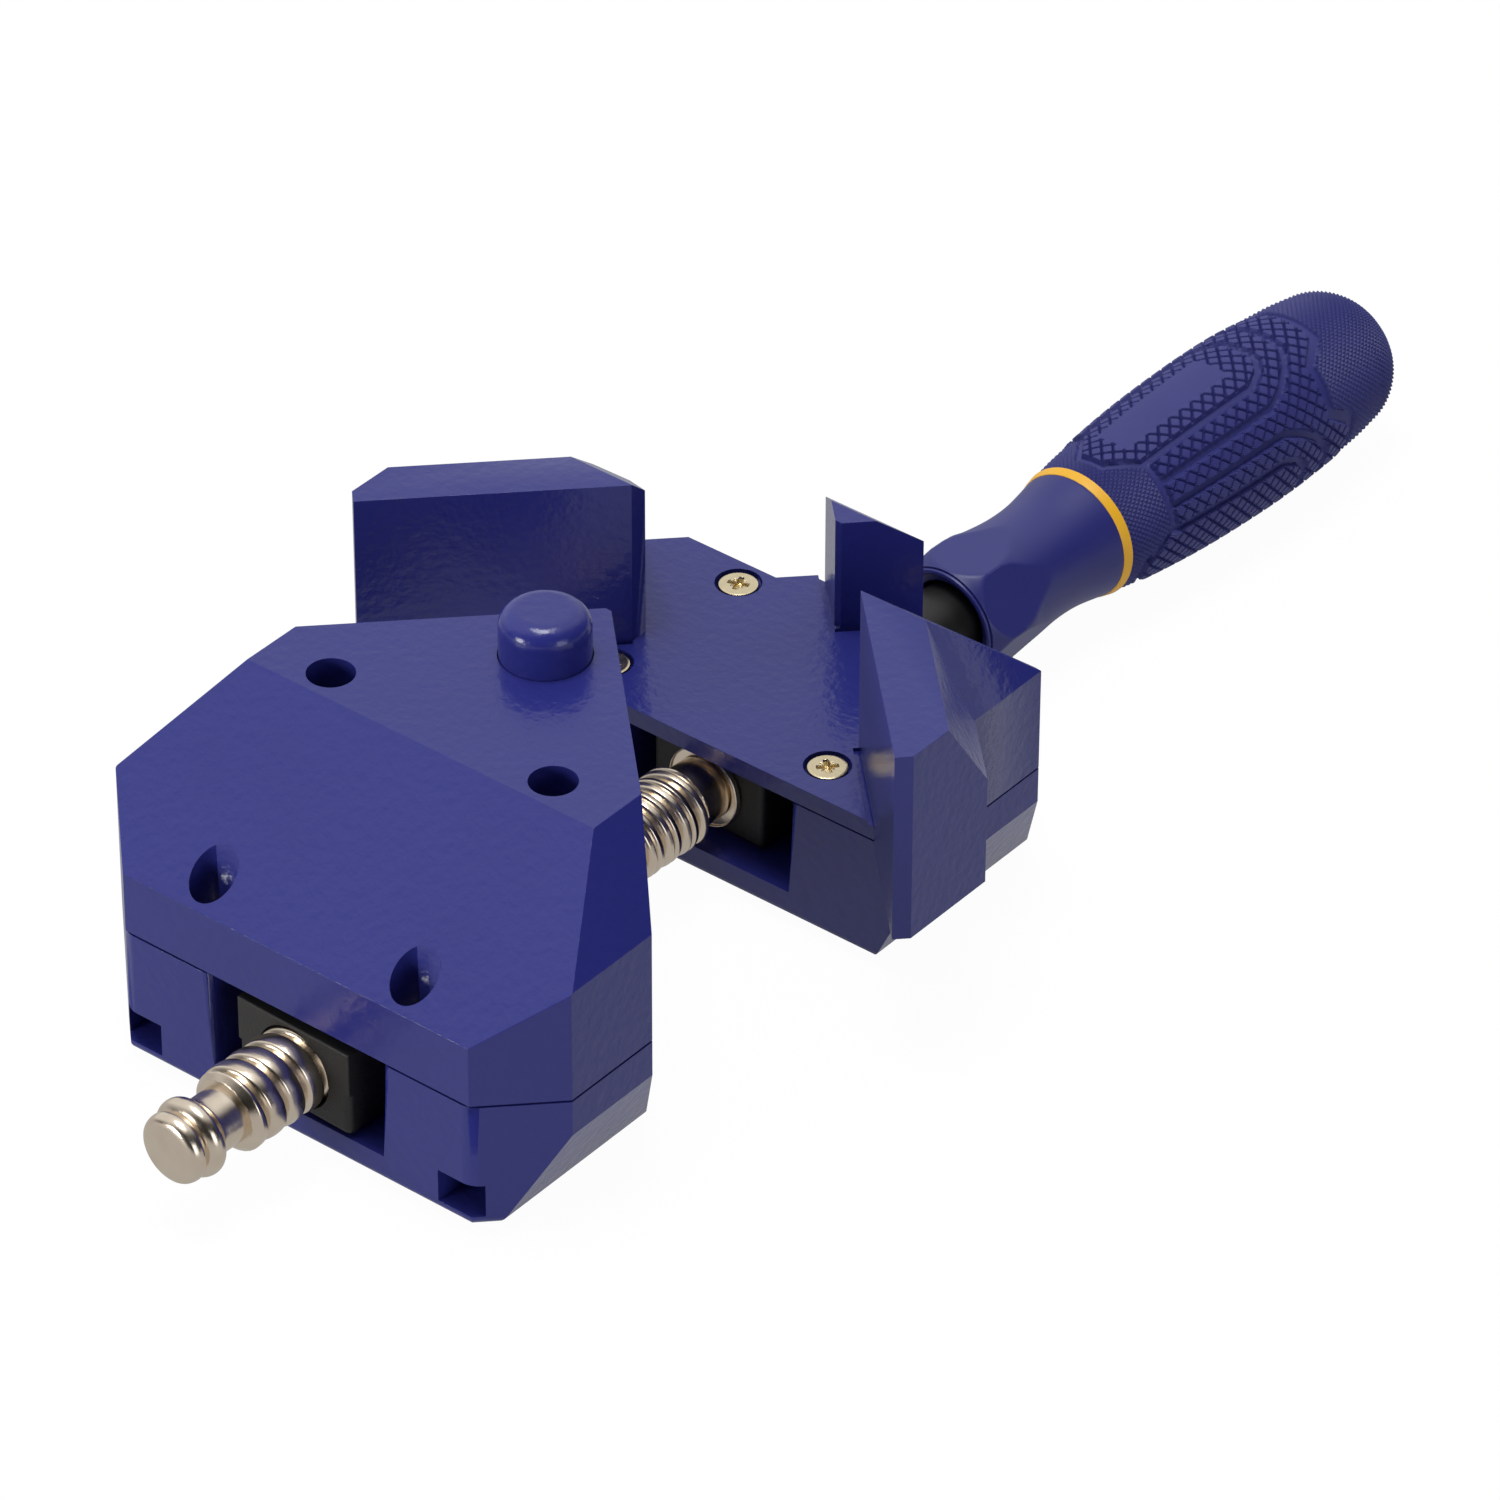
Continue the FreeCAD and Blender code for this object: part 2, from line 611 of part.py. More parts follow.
def fixed_jaw():
    """The right-hand jaw: a thick wall at 45 degrees with a block behind it."""
    bevel = jaw_wing_x - jaw_end_x
    corner_line = block_half_width + base_rear_y - corner_cut
    slot_line = jaw_start_x + jaw_start_x - tip_facet
    rear_corner_x = (corner_line + slot_line) / 2
    rear_corner = (rear_corner_x, corner_line - rear_corner_x)
    tip = (jaw_start_x, -jaw_start_x)
    wing = prism_z([tip, (jaw_end_x, -jaw_end_x), (jaw_wing_x, bevel - jaw_end_x),
                    (jaw_wing_x, jaw_outer_offset - jaw_wing_x), (block_half_width, jaw_outer_offset - block_half_width)],
                   fixed_wing_bottom_z, fixed_jaw_top_z)
    fall = (fixed_jaw_top_z - fixed_facet_z) / (jaw_outer_offset - jaw_top_offset)
    facet = prism_y([(jaw_top_offset / ROOT2, fixed_jaw_top_z), (FAR, fixed_jaw_top_z - fall * (FAR * ROOT2 - jaw_top_offset)),
                     (FAR, FAR)], -FAR, FAR)
    wing = wing.cut(turned(facet, 45.0, V(0, 0, 0)))
    back = prism_z([tip, (block_half_width, -block_half_width), (block_half_width, base_rear_y - corner_cut),
                    rear_corner, (jaw_start_x, tip_facet - jaw_start_x)], fixed_wing_bottom_z, fixed_jaw_top_z)
    side_rise = (fixed_jaw_top_z - side_facet_z) / side_facet_width
    side_peak = side_facet_z + block_half_width * side_rise
    back = back.common(prism_y([(0, side_peak), (FAR, side_peak - FAR * side_rise), (FAR, -FAR * 4), (0, -FAR * 4)],
                               -FAR, FAR))
    slope = (fixed_jaw_top_z - rear_slope_end_z) / (rear_slope_end_y - rear_slope_y)
    rear = prism_x([(rear_slope_y, fixed_jaw_top_z), (rear_slope_y + FAR, fixed_jaw_top_z - slope * FAR),
                    (rear_slope_y + FAR, FAR), (rear_slope_y, FAR)], -FAR, FAR)
    jaw = join([wing, back]).cut(rear)
    footprint = box(-FAR, block_half_width + wing_clearance, base_front_y - wing_clearance, FAR, 0, seam_z)
    inset = casting_wall * ROOT2
    core_x = block_half_width - casting_wall
    core = prism_z([(jaw_start_x + casting_wall * 2, inset - jaw_start_x - casting_wall * 2), (core_x, inset - core_x),
                    (core_x, base_rear_y - corner_cut - casting_wall / 2),
                    (jaw_start_x + casting_wall * 2, 2 * casting_wall + tip_facet - jaw_start_x - casting_wall)],
                   0, deck_z + fixed_core_height)
    return jaw.cut([footprint, core])


def corner_post():
    """A three-sided post behind the corner, in line with both jaw faces."""
    plan = [(post_blunt, post_blunt), (post_reach, post_reach)]
    body = prism_z(both_sides(plan), seam_z, post_top_z)
    fall = (post_top_z - post_rear_z) / (post_reach - post_flat_y)
    rear = prism_x([(post_flat_y, post_top_z), (post_flat_y + FAR, post_top_z - fall * FAR),
                    (post_flat_y + FAR, FAR), (post_flat_y, FAR)], -FAR, FAR)
    return body.cut(rear)


def deck_grooves():
    """Shallow channels along the foot of each jaw face and each face of the post.

    The jaw's channel also reaches a little into the jaw's foot, as a relief for the work's edge.
    """
    jaw_from = jaw_start_x * ROOT2
    jaw_to = (groove_width - base_front_y) * ROOT2
    post_to = post_reach * ROOT2 + groove_width
    strips = []
    for degrees, start, end, undercut in ((45.0, -groove_width, post_to, 0.0), (-45.0, jaw_from, jaw_to, groove_undercut)):
        strip = box(start, end, -groove_width, undercut, deck_z - groove_depth, deck_z + groove_rise)
        strips += pair(turned(strip, degrees, V(0, 0, 0)))
    return strips


def base_upper_casting():
    deck = prism_z(base_outline(), seam_z, deck_z)
    boss = rod_z(trunnion_boss_radius, 0, base_pivot_y, seam_z - trunnion_boss_drop, seam_z)
    body = join([deck, boss, corner_post()] + pair(fixed_jaw()))
    bore_top = block_top_z + upper_trunnion_length + trunnion_end_room
    cuts = [rod_z(trunnion_radius + running_clearance, 0, base_pivot_y, 0, bore_top)]
    cuts += [as_base(well) for well in screw_wells(deck_z + 1)]
    cuts += deck_grooves()
    sill = box(-FAR, FAR, -FAR, FAR, seam_z - 1, seam_z + seam_gap)
    inner = prism_z(block_outline(seam_depth, block_length), seam_z - 2, seam_z + seam_gap + 1)
    keep = join([as_base(inner), box(-FAR, FAR, -FAR, base_front_y - wing_clearance, 0, FAR)]
                + pair(box(block_half_width + wing_clearance, FAR, -FAR, FAR, 0, FAR)))
    cuts.append(sill.cut(keep))
    return body.cut(cuts).removeSplitter()


# Handle, drawn straight along Y
def revolved(points):
    """Revolve a closed outline of distance from the band and radius round the spindle's axis."""
    wire = Part.makePolygon([V(r, band_y + y, 0) for y, r in points + points[:1]])
    solid = Part.Face(wire).revolve(V(0, 0, 0), Y_AXIS, 360.0)
    return moved(solid, 0, 0, axis_z)


def handle_core():
    under_grip = [(y, r - grip_wall) for y, r in grip_profile]
    outline = [(collar_front, collar_bore_radius + collar_rim)] + list(neck_profile)
    outline += [(0.0, grip_base_radius), (0.0, grip_base_radius - grip_wall)]
    outline += [(band_width, grip_base_radius - grip_wall)]
    outline += under_grip + [(core_end, dome_radius - grip_wall), (core_end, 0.0), (collar_front, 0.0)]
    body = revolved(outline)
    flats = box(-FAR, FAR, band_y + collar_front - 1, band_y + collar_front + collar_flats_length,
                axis_z + collar_flats_across / 2, FAR)
    flat_turn = 360.0 / collar_flat_count
    cuts = [turned(flats, collar_turn_deg + flat_turn * step, V(0, 0, axis_z), Y_AXIS)
            for step in range(collar_flat_count)]
    front_y = band_y + collar_front
    cuts.append(rod_y(collar_bore_radius, front_y - 1, front_y + collar_bore_depth))
    cuts.append(rod_y(shank_radius + screw_clearance, front_y, tang_start_y))
    tang = rod_y(shank_radius + screw_clearance, tang_start_y - 1, shank_end_y + 1)
    flat = tang_flat + screw_clearance
    cuts.append(tang.common(box(-FAR, FAR, -FAR, FAR, axis_z - flat, axis_z + flat)))
    return body.cut(cuts)


def handle_band():
    inner = grip_base_radius - grip_wall
    return revolved([(0.0, inner), (0.0, grip_base_radius + band_proud),
                     (band_width, grip_base_radius + band_flare + band_proud), (band_width, inner)])


def dome_points():
    steps = 8
    span = grip_end - dome_start
    angles = [math.pi / 2 * step / steps for step in range(steps + 1)]
    return [(dome_start + span * math.sin(a), dome_radius * math.cos(a)) for a in angles]


def handle_grip():
    inner = grip_base_radius - grip_wall
    outline = [(band_width, inner), (band_width, grip_base_radius + band_flare)] + list(grip_profile) + dome_points()[:-1]
    outline += [(grip_end, 0.0), (core_end, 0.0), (core_end, dome_radius - grip_wall)]
    outline += [(y, r - grip_wall) for y, r in reversed(grip_profile)]
    return revolved(outline)


def thrust_washer():
    y0 = block_rear_y + contact_gap
    washer = rod_y(thrust_washer_radius, y0, y0 + thrust_washer_thickness)
    return washer.cut(rod_y(shank_radius + screw_clearance, y0 - 1, y0 + thrust_washer_thickness + 1))


def spindle_sleeve():
    y0 = block_rear_y + contact_gap + thrust_washer_thickness
    sleeve = rod_y(sleeve_radius, y0, sleeve_end_y)
    return sleeve.cut(rod_y(shank_radius + screw_clearance, y0 - 1, sleeve_end_y + 1))


def all_parts():
    nut_bore = thread_radius + loose_clearance
    shank_bore = shank_radius + running_clearance
    return {
        "base_lower_casting": as_base(lower_casting()),
        "base_upper_casting": base_upper_casting(),
        "base_screws": as_base(casting_screws()),
        "thrust_block_lower": to_base_pivot(lower_block(shank_bore)),
        "thrust_block_upper": to_base_pivot(thrust_upper_block(shank_bore)),
        "thrust_block_dowels": to_base_pivot(dowels()),
        "spindle_screw": on_spindle(spindle_screw()),
        "front_retaining_ring": on_spindle(front_ring()),
        "thrust_washer": on_spindle(thrust_washer()),
        "spindle_sleeve": on_spindle(spindle_sleeve()),
        "handle_core": on_spindle(handle_core()),
        "handle_band": on_spindle(handle_band()),
        "handle_grip": on_spindle(handle_grip()),
        "nut_block_lower": to_nut_pivot(lower_block(nut_bore)),
        "nut_block_upper": to_nut_pivot(nut_upper_block(nut_bore)),
        "nut_block_dowels": to_nut_pivot(dowels()),
        "half_nut": on_spindle(half_nut()),
        "lift_stem": on_spindle(lift_stem()),
        "lift_cap": on_spindle(lift_cap()),
        "jaw_lower_casting": as_jaw(jaw_lower_casting()),
        "jaw_upper_casting": as_jaw(jaw_upper_casting()),
        "jaw_screws": as_jaw(casting_screws()),
        "lever_pin": as_jaw(lever_pin()),
        "release_lever": as_jaw(release_lever()),
        "release_button": as_jaw(release_button()),
        "release_spring": as_jaw(release_spring()),
    }


os.makedirs("parts", exist_ok=True)
for name, shape in all_parts().items():
    shape.exportStep("parts/" + name + ".step")
    print(name, "valid", shape.isValid(), "solids", len(shape.Solids), "volume", round(shape.Volume, 1))
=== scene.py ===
"""Studio scene of a corner clamp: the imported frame, its finished pieces, their materials and the light.

Lengths in the classes are millimetres, and MM turns them into the frame's metres. The studio's places
and sizes are metres from the start.
"""

import json
import logging
import math
from dataclasses import dataclass
from enum import Enum
from typing import Any, Callable, Iterable, Sequence

import bmesh
import bpy
from mathutils import Matrix, Vector


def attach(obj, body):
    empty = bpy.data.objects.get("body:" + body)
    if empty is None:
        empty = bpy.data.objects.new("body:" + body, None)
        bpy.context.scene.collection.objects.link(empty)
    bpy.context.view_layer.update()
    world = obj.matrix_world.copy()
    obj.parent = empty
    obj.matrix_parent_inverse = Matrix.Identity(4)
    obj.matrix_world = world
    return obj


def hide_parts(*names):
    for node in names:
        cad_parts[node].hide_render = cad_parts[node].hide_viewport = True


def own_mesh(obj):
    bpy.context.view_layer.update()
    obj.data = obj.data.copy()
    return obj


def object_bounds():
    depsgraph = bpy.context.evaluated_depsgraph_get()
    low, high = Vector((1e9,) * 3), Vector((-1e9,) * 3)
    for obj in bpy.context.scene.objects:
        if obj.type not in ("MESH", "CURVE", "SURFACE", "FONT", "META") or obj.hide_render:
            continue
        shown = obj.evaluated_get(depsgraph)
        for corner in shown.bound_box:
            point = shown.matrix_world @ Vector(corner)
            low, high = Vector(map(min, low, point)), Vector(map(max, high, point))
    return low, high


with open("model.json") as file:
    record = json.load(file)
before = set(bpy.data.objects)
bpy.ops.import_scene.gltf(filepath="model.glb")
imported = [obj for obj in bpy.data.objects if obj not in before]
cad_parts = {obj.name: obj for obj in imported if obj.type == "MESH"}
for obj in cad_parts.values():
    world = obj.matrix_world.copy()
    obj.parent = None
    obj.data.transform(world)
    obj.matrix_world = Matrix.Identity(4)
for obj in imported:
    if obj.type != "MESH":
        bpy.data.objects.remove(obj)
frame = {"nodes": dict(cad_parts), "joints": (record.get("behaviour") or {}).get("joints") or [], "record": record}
cad_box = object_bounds()

logging.basicConfig(level=logging.INFO, format="%(message)s")
log = logging.getLogger("corner_clamp")

MM = 0.001
FULL_TURN = 2.0 * math.pi
# Corners nearer than this are one corner, and faces that bend less than this are one face
MERGE_DISTANCE = 0.001 * MM
FLAT_DEGREES = 0.3
# Gives the large faces the most say in a weighted normal, where 50 is neutral
LARGE_FACE_WEIGHT = 100
# The colour sockets of a Mix node, by number because other sockets have the same names
MIX_FIRST, MIX_SECOND, MIX_RESULT = 6, 7, 2
Outline = Sequence[tuple[float, float]]
Place = tuple[float, float, float]


# Colour and nodes
def linear(hex_colour: str) -> tuple[float, float, float, float]:
    """Turn an sRGB hex colour into linear values.

    Args:
        hex_colour: The colour as "#rrggbb".

    Returns:
        Red, green, blue and an alpha of 1, all linear.
    """
    channels = [int(hex_colour[start:start + 2], 16) / 255.0 for start in (1, 3, 5)]
    curved = [c / 12.92 if c <= 0.04045 else ((c + 0.055) / 1.055) ** 2.4 for c in channels]
    return (*curved, 1.0)


def per_size(size: float) -> float:
    """Give the texture scale whose cells are size millimetres across.

    Args:
        size: The width of one cell in millimetres.

    Returns:
        The Scale value for a texture that reads Object coordinates in metres.
    """
    return 1.0 / (size * MM)


def add_node(
    tree: bpy.types.NodeTree,
    kind: str,
    values: dict[str | int, Any] | None = None,
    links: dict[str | int, bpy.types.NodeSocket] | None = None,
    **settings: Any,
) -> bpy.types.Node:
    """Add one node with its settings, socket values and incoming links.

    Args:
        tree: The node tree to add to.
        kind: The node's type name.
        values: Default values by input name or number.
        links: Source sockets by input name or number.
        **settings: Properties of the node itself.

    Returns:
        The new node.
    """
    node = tree.nodes.new(kind)
    for name, value in settings.items():
        setattr(node, name, value)
    for socket, value in (values or {}).items():
        node.inputs[socket].default_value = value
    for socket, source in (links or {}).items():
        tree.links.new(source, node.inputs[socket])
    return node


# Finishes
@dataclass(frozen=True)
class Finish:
    """A surface finish: uniform numbers on the shader, and a pattern of colour, gloss and bump.

    The pattern is one noise for blotches, which shifts colour and roughness, and one finer noise
    for the grain, which drives the bump.
    """

    name: str
    colour: str
    shade: str
    roughness: float
    roughness_spread: float
    blotch_size: float
    grain_size: float
    grain_height: float
    grain_strength: float = 1.0
    grain_detail: float = 2.0
    metallic: float = 0.0
    ior: float = 1.5

    def material(self) -> bpy.types.Material:
        """Build the material, or fetch it when it is there already.

        Returns:
            The finished procedural material.
        """
        found = bpy.data.materials.get(self.name)
        if found:
            return found
        material = bpy.data.materials.new(self.name)
        material.use_nodes = True
        tree = material.node_tree
        tree.nodes.clear()
        place = add_node(tree, "ShaderNodeTexCoord").outputs["Object"]
        blotches = add_node(
            tree, "ShaderNodeTexNoise",
            {"Scale": per_size(self.blotch_size), "Detail": 3.0, "Roughness": 0.55}, {"Vector": place},
        ).outputs["Fac"]
        colour = add_node(
            tree, "ShaderNodeMix",
            {MIX_FIRST: linear(self.shade), MIX_SECOND: linear(self.colour)}, {0: blotches},
            data_type="RGBA",
        )
        roughness = add_node(
            tree, "ShaderNodeMapRange",
            {"To Min": self.roughness - self.roughness_spread,
             "To Max": self.roughness + self.roughness_spread},
            {"Value": blotches},
        ).outputs["Result"]
        normal = self.surface(tree, place)
        shader = add_node(
            tree, "ShaderNodeBsdfPrincipled",
            {"Metallic": self.metallic, "IOR": self.ior},
            {"Base Color": colour.outputs[MIX_RESULT], "Roughness": roughness, "Normal": normal},
        )
        add_node(tree, "ShaderNodeOutputMaterial", links={"Surface": shader.outputs["BSDF"]})
        return material

    def surface(self, tree: bpy.types.NodeTree, place: bpy.types.NodeSocket) -> bpy.types.NodeSocket:
        """Add the grain.

        Args:
            tree: The material's node tree.
            place: The Object coordinates.

        Returns:
            The normal socket for the shader.
        """
        grain = add_node(
            tree, "ShaderNodeTexNoise",
            {"Scale": per_size(self.grain_size), "Detail": self.grain_detail, "Roughness": 0.5},
            {"Vector": place},
        ).outputs["Fac"]
        return add_node(
            tree, "ShaderNodeBump",
            {"Strength": self.grain_strength, "Distance": self.grain_height * MM}, {"Height": grain},
        ).outputs["Normal"]


# Blue powder coat baked on die-cast zinc: semi-gloss, with a faint orange peel
POWDER_COAT = Finish(
    "blue_powder_coat", "#2d3180", "#2a2e79", roughness=0.21, roughness_spread=0.03,
    blotch_size=24.0, grain_size=2.2, grain_height=0.15,
)
# Black phosphated die casting left unpainted: nearly matt, with the rough skin of the mould
RAW_CASTING = Finish(
    "black_phosphated_casting", "#2a2927", "#191816", roughness=0.55, roughness_spread=0.1,
    blotch_size=6.0, grain_size=0.6, grain_height=0.1, grain_detail=4.0,
)
# Bright nickel plate on turned steel: a warm, nearly mirror-like metal
NICKEL_PLATE = Finish(
    "bright_nickel_plate", "#efe3d2", "#dccbb4", roughness=0.25, roughness_spread=0.05,
    blotch_size=5.0, grain_size=1.3, grain_height=0.03, metallic=1.0,
)
# Pale yellow-passivated zinc on the screws: creamy, bright and slightly uneven
ZINC_PLATE = Finish(
    "yellow_passivated_zinc", "#efe2c2", "#d9c8a0", roughness=0.26, roughness_spread=0.08,
    blotch_size=1.6, grain_size=0.35, grain_height=0.02, metallic=1.0,
)
# Satin blue moulded polypropylene on the handle's neck: a soft broad highlight
SATIN_PLASTIC = Finish(
    "satin_blue_polypropylene", "#2b2e7c", "#272a72", roughness=0.42, roughness_spread=0.03,
    blotch_size=18.0, grain_size=0.5, grain_height=0.006,
)
# Yellow moulded polypropylene of the thin band
YELLOW_PLASTIC = Finish(
    "yellow_polypropylene", "#ffc42c", "#fdba26", roughness=0.4, roughness_spread=0.03,
    blotch_size=9.0, grain_size=0.5, grain_height=0.004,
)
# Blue thermoplastic rubber of the grip: soft and nearly matt
GRIP_RUBBER = Finish(
    "blue_thermoplastic_rubber", "#33367f", "#2c2f76", roughness=0.58, roughness_spread=0.04,
    blotch_size=8.0, grain_size=0.3, grain_height=0.01,
)
# Black nylon of the sleeve: dark with a dull gloss
BLACK_NYLON = Finish(
    "black_nylon", "#1b1b1a", "#131312", roughness=0.45, roughness_spread=0.05,
    blotch_size=4.0, grain_size=0.5, grain_height=0.01,
)
# Bare ground steel of the inner pins and nut: grey, with a fine uneven polish
GROUND_STEEL = Finish(
    "ground_steel", "#b9b7b3", "#a19e99", roughness=0.3, roughness_spread=0.08,
    blotch_size=3.0, grain_size=0.3, grain_height=0.006, metallic=1.0,
)
# Drawn spring wire: darker steel with a thin film of oil
SPRING_WIRE = Finish(
    "oiled_spring_wire", "#8b8984", "#6f6c67", roughness=0.25, roughness_spread=0.06,
    blotch_size=2.0, grain_size=0.25, grain_height=0.004, metallic=1.0,
)


class Slot(Enum):
    """The record's material slots."""

    BLUE_PAINT = "blue_paint"
    ZINC = "zinc_steel"
    BLACK_CAST = "black_cast"
    GROUND = "ground_steel"
    SPRING = "spring_steel"
    NICKEL = "nickel_steel"
    BLACK_PLASTIC = "black_plastic"
    BLUE_PLASTIC = "blue_plastic"
    YELLOW_PLASTIC = "yellow_plastic"
    BLUE_RUBBER = "blue_rubber"


SLOT_FINISH = {
    Slot.BLUE_PAINT: POWDER_COAT,
    Slot.ZINC: ZINC_PLATE,
    Slot.BLACK_CAST: RAW_CASTING,
    Slot.GROUND: GROUND_STEEL,
    Slot.SPRING: SPRING_WIRE,
    Slot.NICKEL: NICKEL_PLATE,
    Slot.BLACK_PLASTIC: BLACK_NYLON,
    Slot.BLUE_PLASTIC: SATIN_PLASTIC,
    Slot.YELLOW_PLASTIC: YELLOW_PLASTIC,
    Slot.BLUE_RUBBER: GRIP_RUBBER,
}


# Mesh helpers
def finish_piece(
    bm: bmesh.types.BMesh,
    name: str,
    slot: Slot,
    body: str,
    replaces: Iterable[str],
    sharp_degrees: float = 35.0,
) -> bpy.types.Object:
    """Turn a bmesh into a piece of the scene, dressed and riding on its body.

    Args:
        bm: The mesh, in metres and in place; it is freed.
        name: The piece's name.
        slot: The material slot the piece takes its finish from.
        body: The body that the piece moves with.
        replaces: The nodes that the piece stands for.
        sharp_degrees: Edges sharper than this stay crisp.

    Returns:
        The new object.
    """
    for face in bm.faces:
        face.smooth = True
    mesh = bpy.data.meshes.new(name)
    bm.to_mesh(mesh)
    bm.free()
    mesh.set_sharp_from_angle(angle=math.radians(sharp_degrees))
    piece = bpy.data.objects.new(name, mesh)
    bpy.context.scene.collection.objects.link(piece)
    mesh.materials.append(SLOT_FINISH[slot].material())
    weighted = piece.modifiers.new("flat_faces_stay_flat", "WEIGHTED_NORMAL")
    weighted.keep_sharp = True
    weighted.weight = LARGE_FACE_WEIGHT
    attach(piece, body)
    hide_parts(*replaces)
    log.info("%s: %d faces on %s", name, len(mesh.polygons), body)
    return piece


def merged_copy(node: str) -> bmesh.types.BMesh:
    """Copy a node's mesh with its loose triangles merged into whole faces.

    Args:
        node: The node's name.

    Returns:
        A new bmesh; the node itself is left alone.
    """
    bm = bmesh.new()
    bm.from_mesh(frame["nodes"][node].data)
    bmesh.ops.remove_doubles(bm, verts=bm.verts, dist=MERGE_DISTANCE)
    bmesh.ops.dissolve_limit(
        bm, angle_limit=math.radians(FLAT_DEGREES), use_dissolve_boundaries=False,
        verts=bm.verts, edges=bm.edges, delimit=set(),
    )
    return bm


def outer_edges(bm: bmesh.types.BMesh, at_least: float, degrees: float) -> list[bmesh.types.BMEdge]:
    """Find the long outward edges that a casting or moulding has rounded.

    Args:
        bm: The mesh to search.
        at_least: The shortest edge to take, in millimetres.
        degrees: The least angle between the two faces.

    Returns:
        The edges to round.
    """
    chosen = []
    for edge in bm.edges:
        if len(edge.link_faces) != 2 or edge.calc_length() < at_least * MM:
            continue
        if edge.calc_face_angle_signed(0.0) > math.radians(degrees):
            chosen.append(edge)
    return chosen


def round_edges(
    bm: bmesh.types.BMesh, edges: list[bmesh.types.BMEdge], radius: float, segments: int,
) -> None:
    """Round edges in place.

    Args:
        bm: The mesh.
        edges: The edges to round.
        radius: The bevel's width in millimetres.
        segments: How many faces go round.
    """
    bmesh.ops.bevel(
        bm, geom=edges, offset=radius * MM, offset_type="OFFSET", affect="EDGES", segments=segments,
        profile=0.5, material=-1, clamp_overlap=True, loop_slide=True,
    )


def smooth_line(points: Outline, steps: int) -> list[tuple[float, float]]:
    """Run a smooth curve through a few points.

    Args:
        points: The points to pass through.
        steps: How many pieces each stretch is divided into.

    Returns:
        The points of the curve, ends included.
    """
    ends = [points[0], *points, points[-1]]
    line = []
    for before, start, end, after in zip(ends, ends[1:], ends[2:], ends[3:]):
        for step in range(steps):
            t = step / steps
            line.append(tuple(
                0.5 * (
                    2 * b + (c - a) * t + (2 * a - 5 * b + 4 * c - d) * t * t
                    + (3 * b - a - 3 * c + d) * t ** 3)
                for a, b, c, d in zip(before, start, end, after)
            ))
    line.append(tuple(points[-1]))
    return line


def rolled_grid(columns: int, rows: int, place: Callable[[int, int], Place]) -> bmesh.types.BMesh:
    """Lay a flat grid, move each corner to its place, and close the seams.

    Args:
        columns: How many faces the grid has one way.
        rows: How many faces it has the other way.
        place: Gives the place in millimetres for the column and row of a corner, each counted from 0.

    Returns:
        A bmesh in metres, with corners that fall together merged.
    """
    bm = bmesh.new()
    bmesh.ops.create_grid(bm, x_segments=columns, y_segments=rows, size=0.5)
    for vert in bm.verts:
        column = round((vert.co.x + 0.5) * columns)
        row = round((vert.co.y + 0.5) * rows)
        vert.co = Vector(place(column, row)) * MM
    bmesh.ops.remove_doubles(bm, verts=bm.verts, dist=MERGE_DISTANCE)
    return bm


def lathe(outline: Outline, steps: int, closed: bool = False) -> bmesh.types.BMesh:
    """Turn an outline round the Y axis.

    Args:
        outline: Distances along Y and radii, in millimetres.
        steps: How many faces go round.
        closed: Whether the outline's end joins its start, as on a ring.

    Returns:
        A closed bmesh with its faces outwards.
    """
    points = [*outline, outline[0]] if closed else list(outline)

    def place(column: int, row: int) -> Place:
        along, radius = points[row]
        angle = FULL_TURN * (column % steps) / steps
        return (radius * math.sin(angle), along, radius * math.cos(angle))

    bm = rolled_grid(steps, len(points) - 1, place)
    bmesh.ops.recalc_face_normals(bm, faces=bm.faces)
    return bm


def add_shell(bm: bmesh.types.BMesh, other: bmesh.types.BMesh) -> None:
    """Add another bmesh to the first, and free it.

    Args:
        bm: The bmesh that grows.
        other: The bmesh that is added.
    """
    shell = bpy.data.meshes.new("shell")
    other.to_mesh(shell)
    other.free()
    bm.from_mesh(shell)
    bpy.data.meshes.remove(shell)


def smoothstep(low: float, high: float, value: float) -> float:
    """Ease from 0 at low to 1 at high."""
    t = min(1.0, max(0.0, (value - low) / (high - low)))
    return t * t * (3.0 - 2.0 * t)


def joint(name: str) -> dict[str, Any]:
    """Fetch one joint of the frame by name."""
    return next(j for j in frame["joints"] if j["name"] == name)


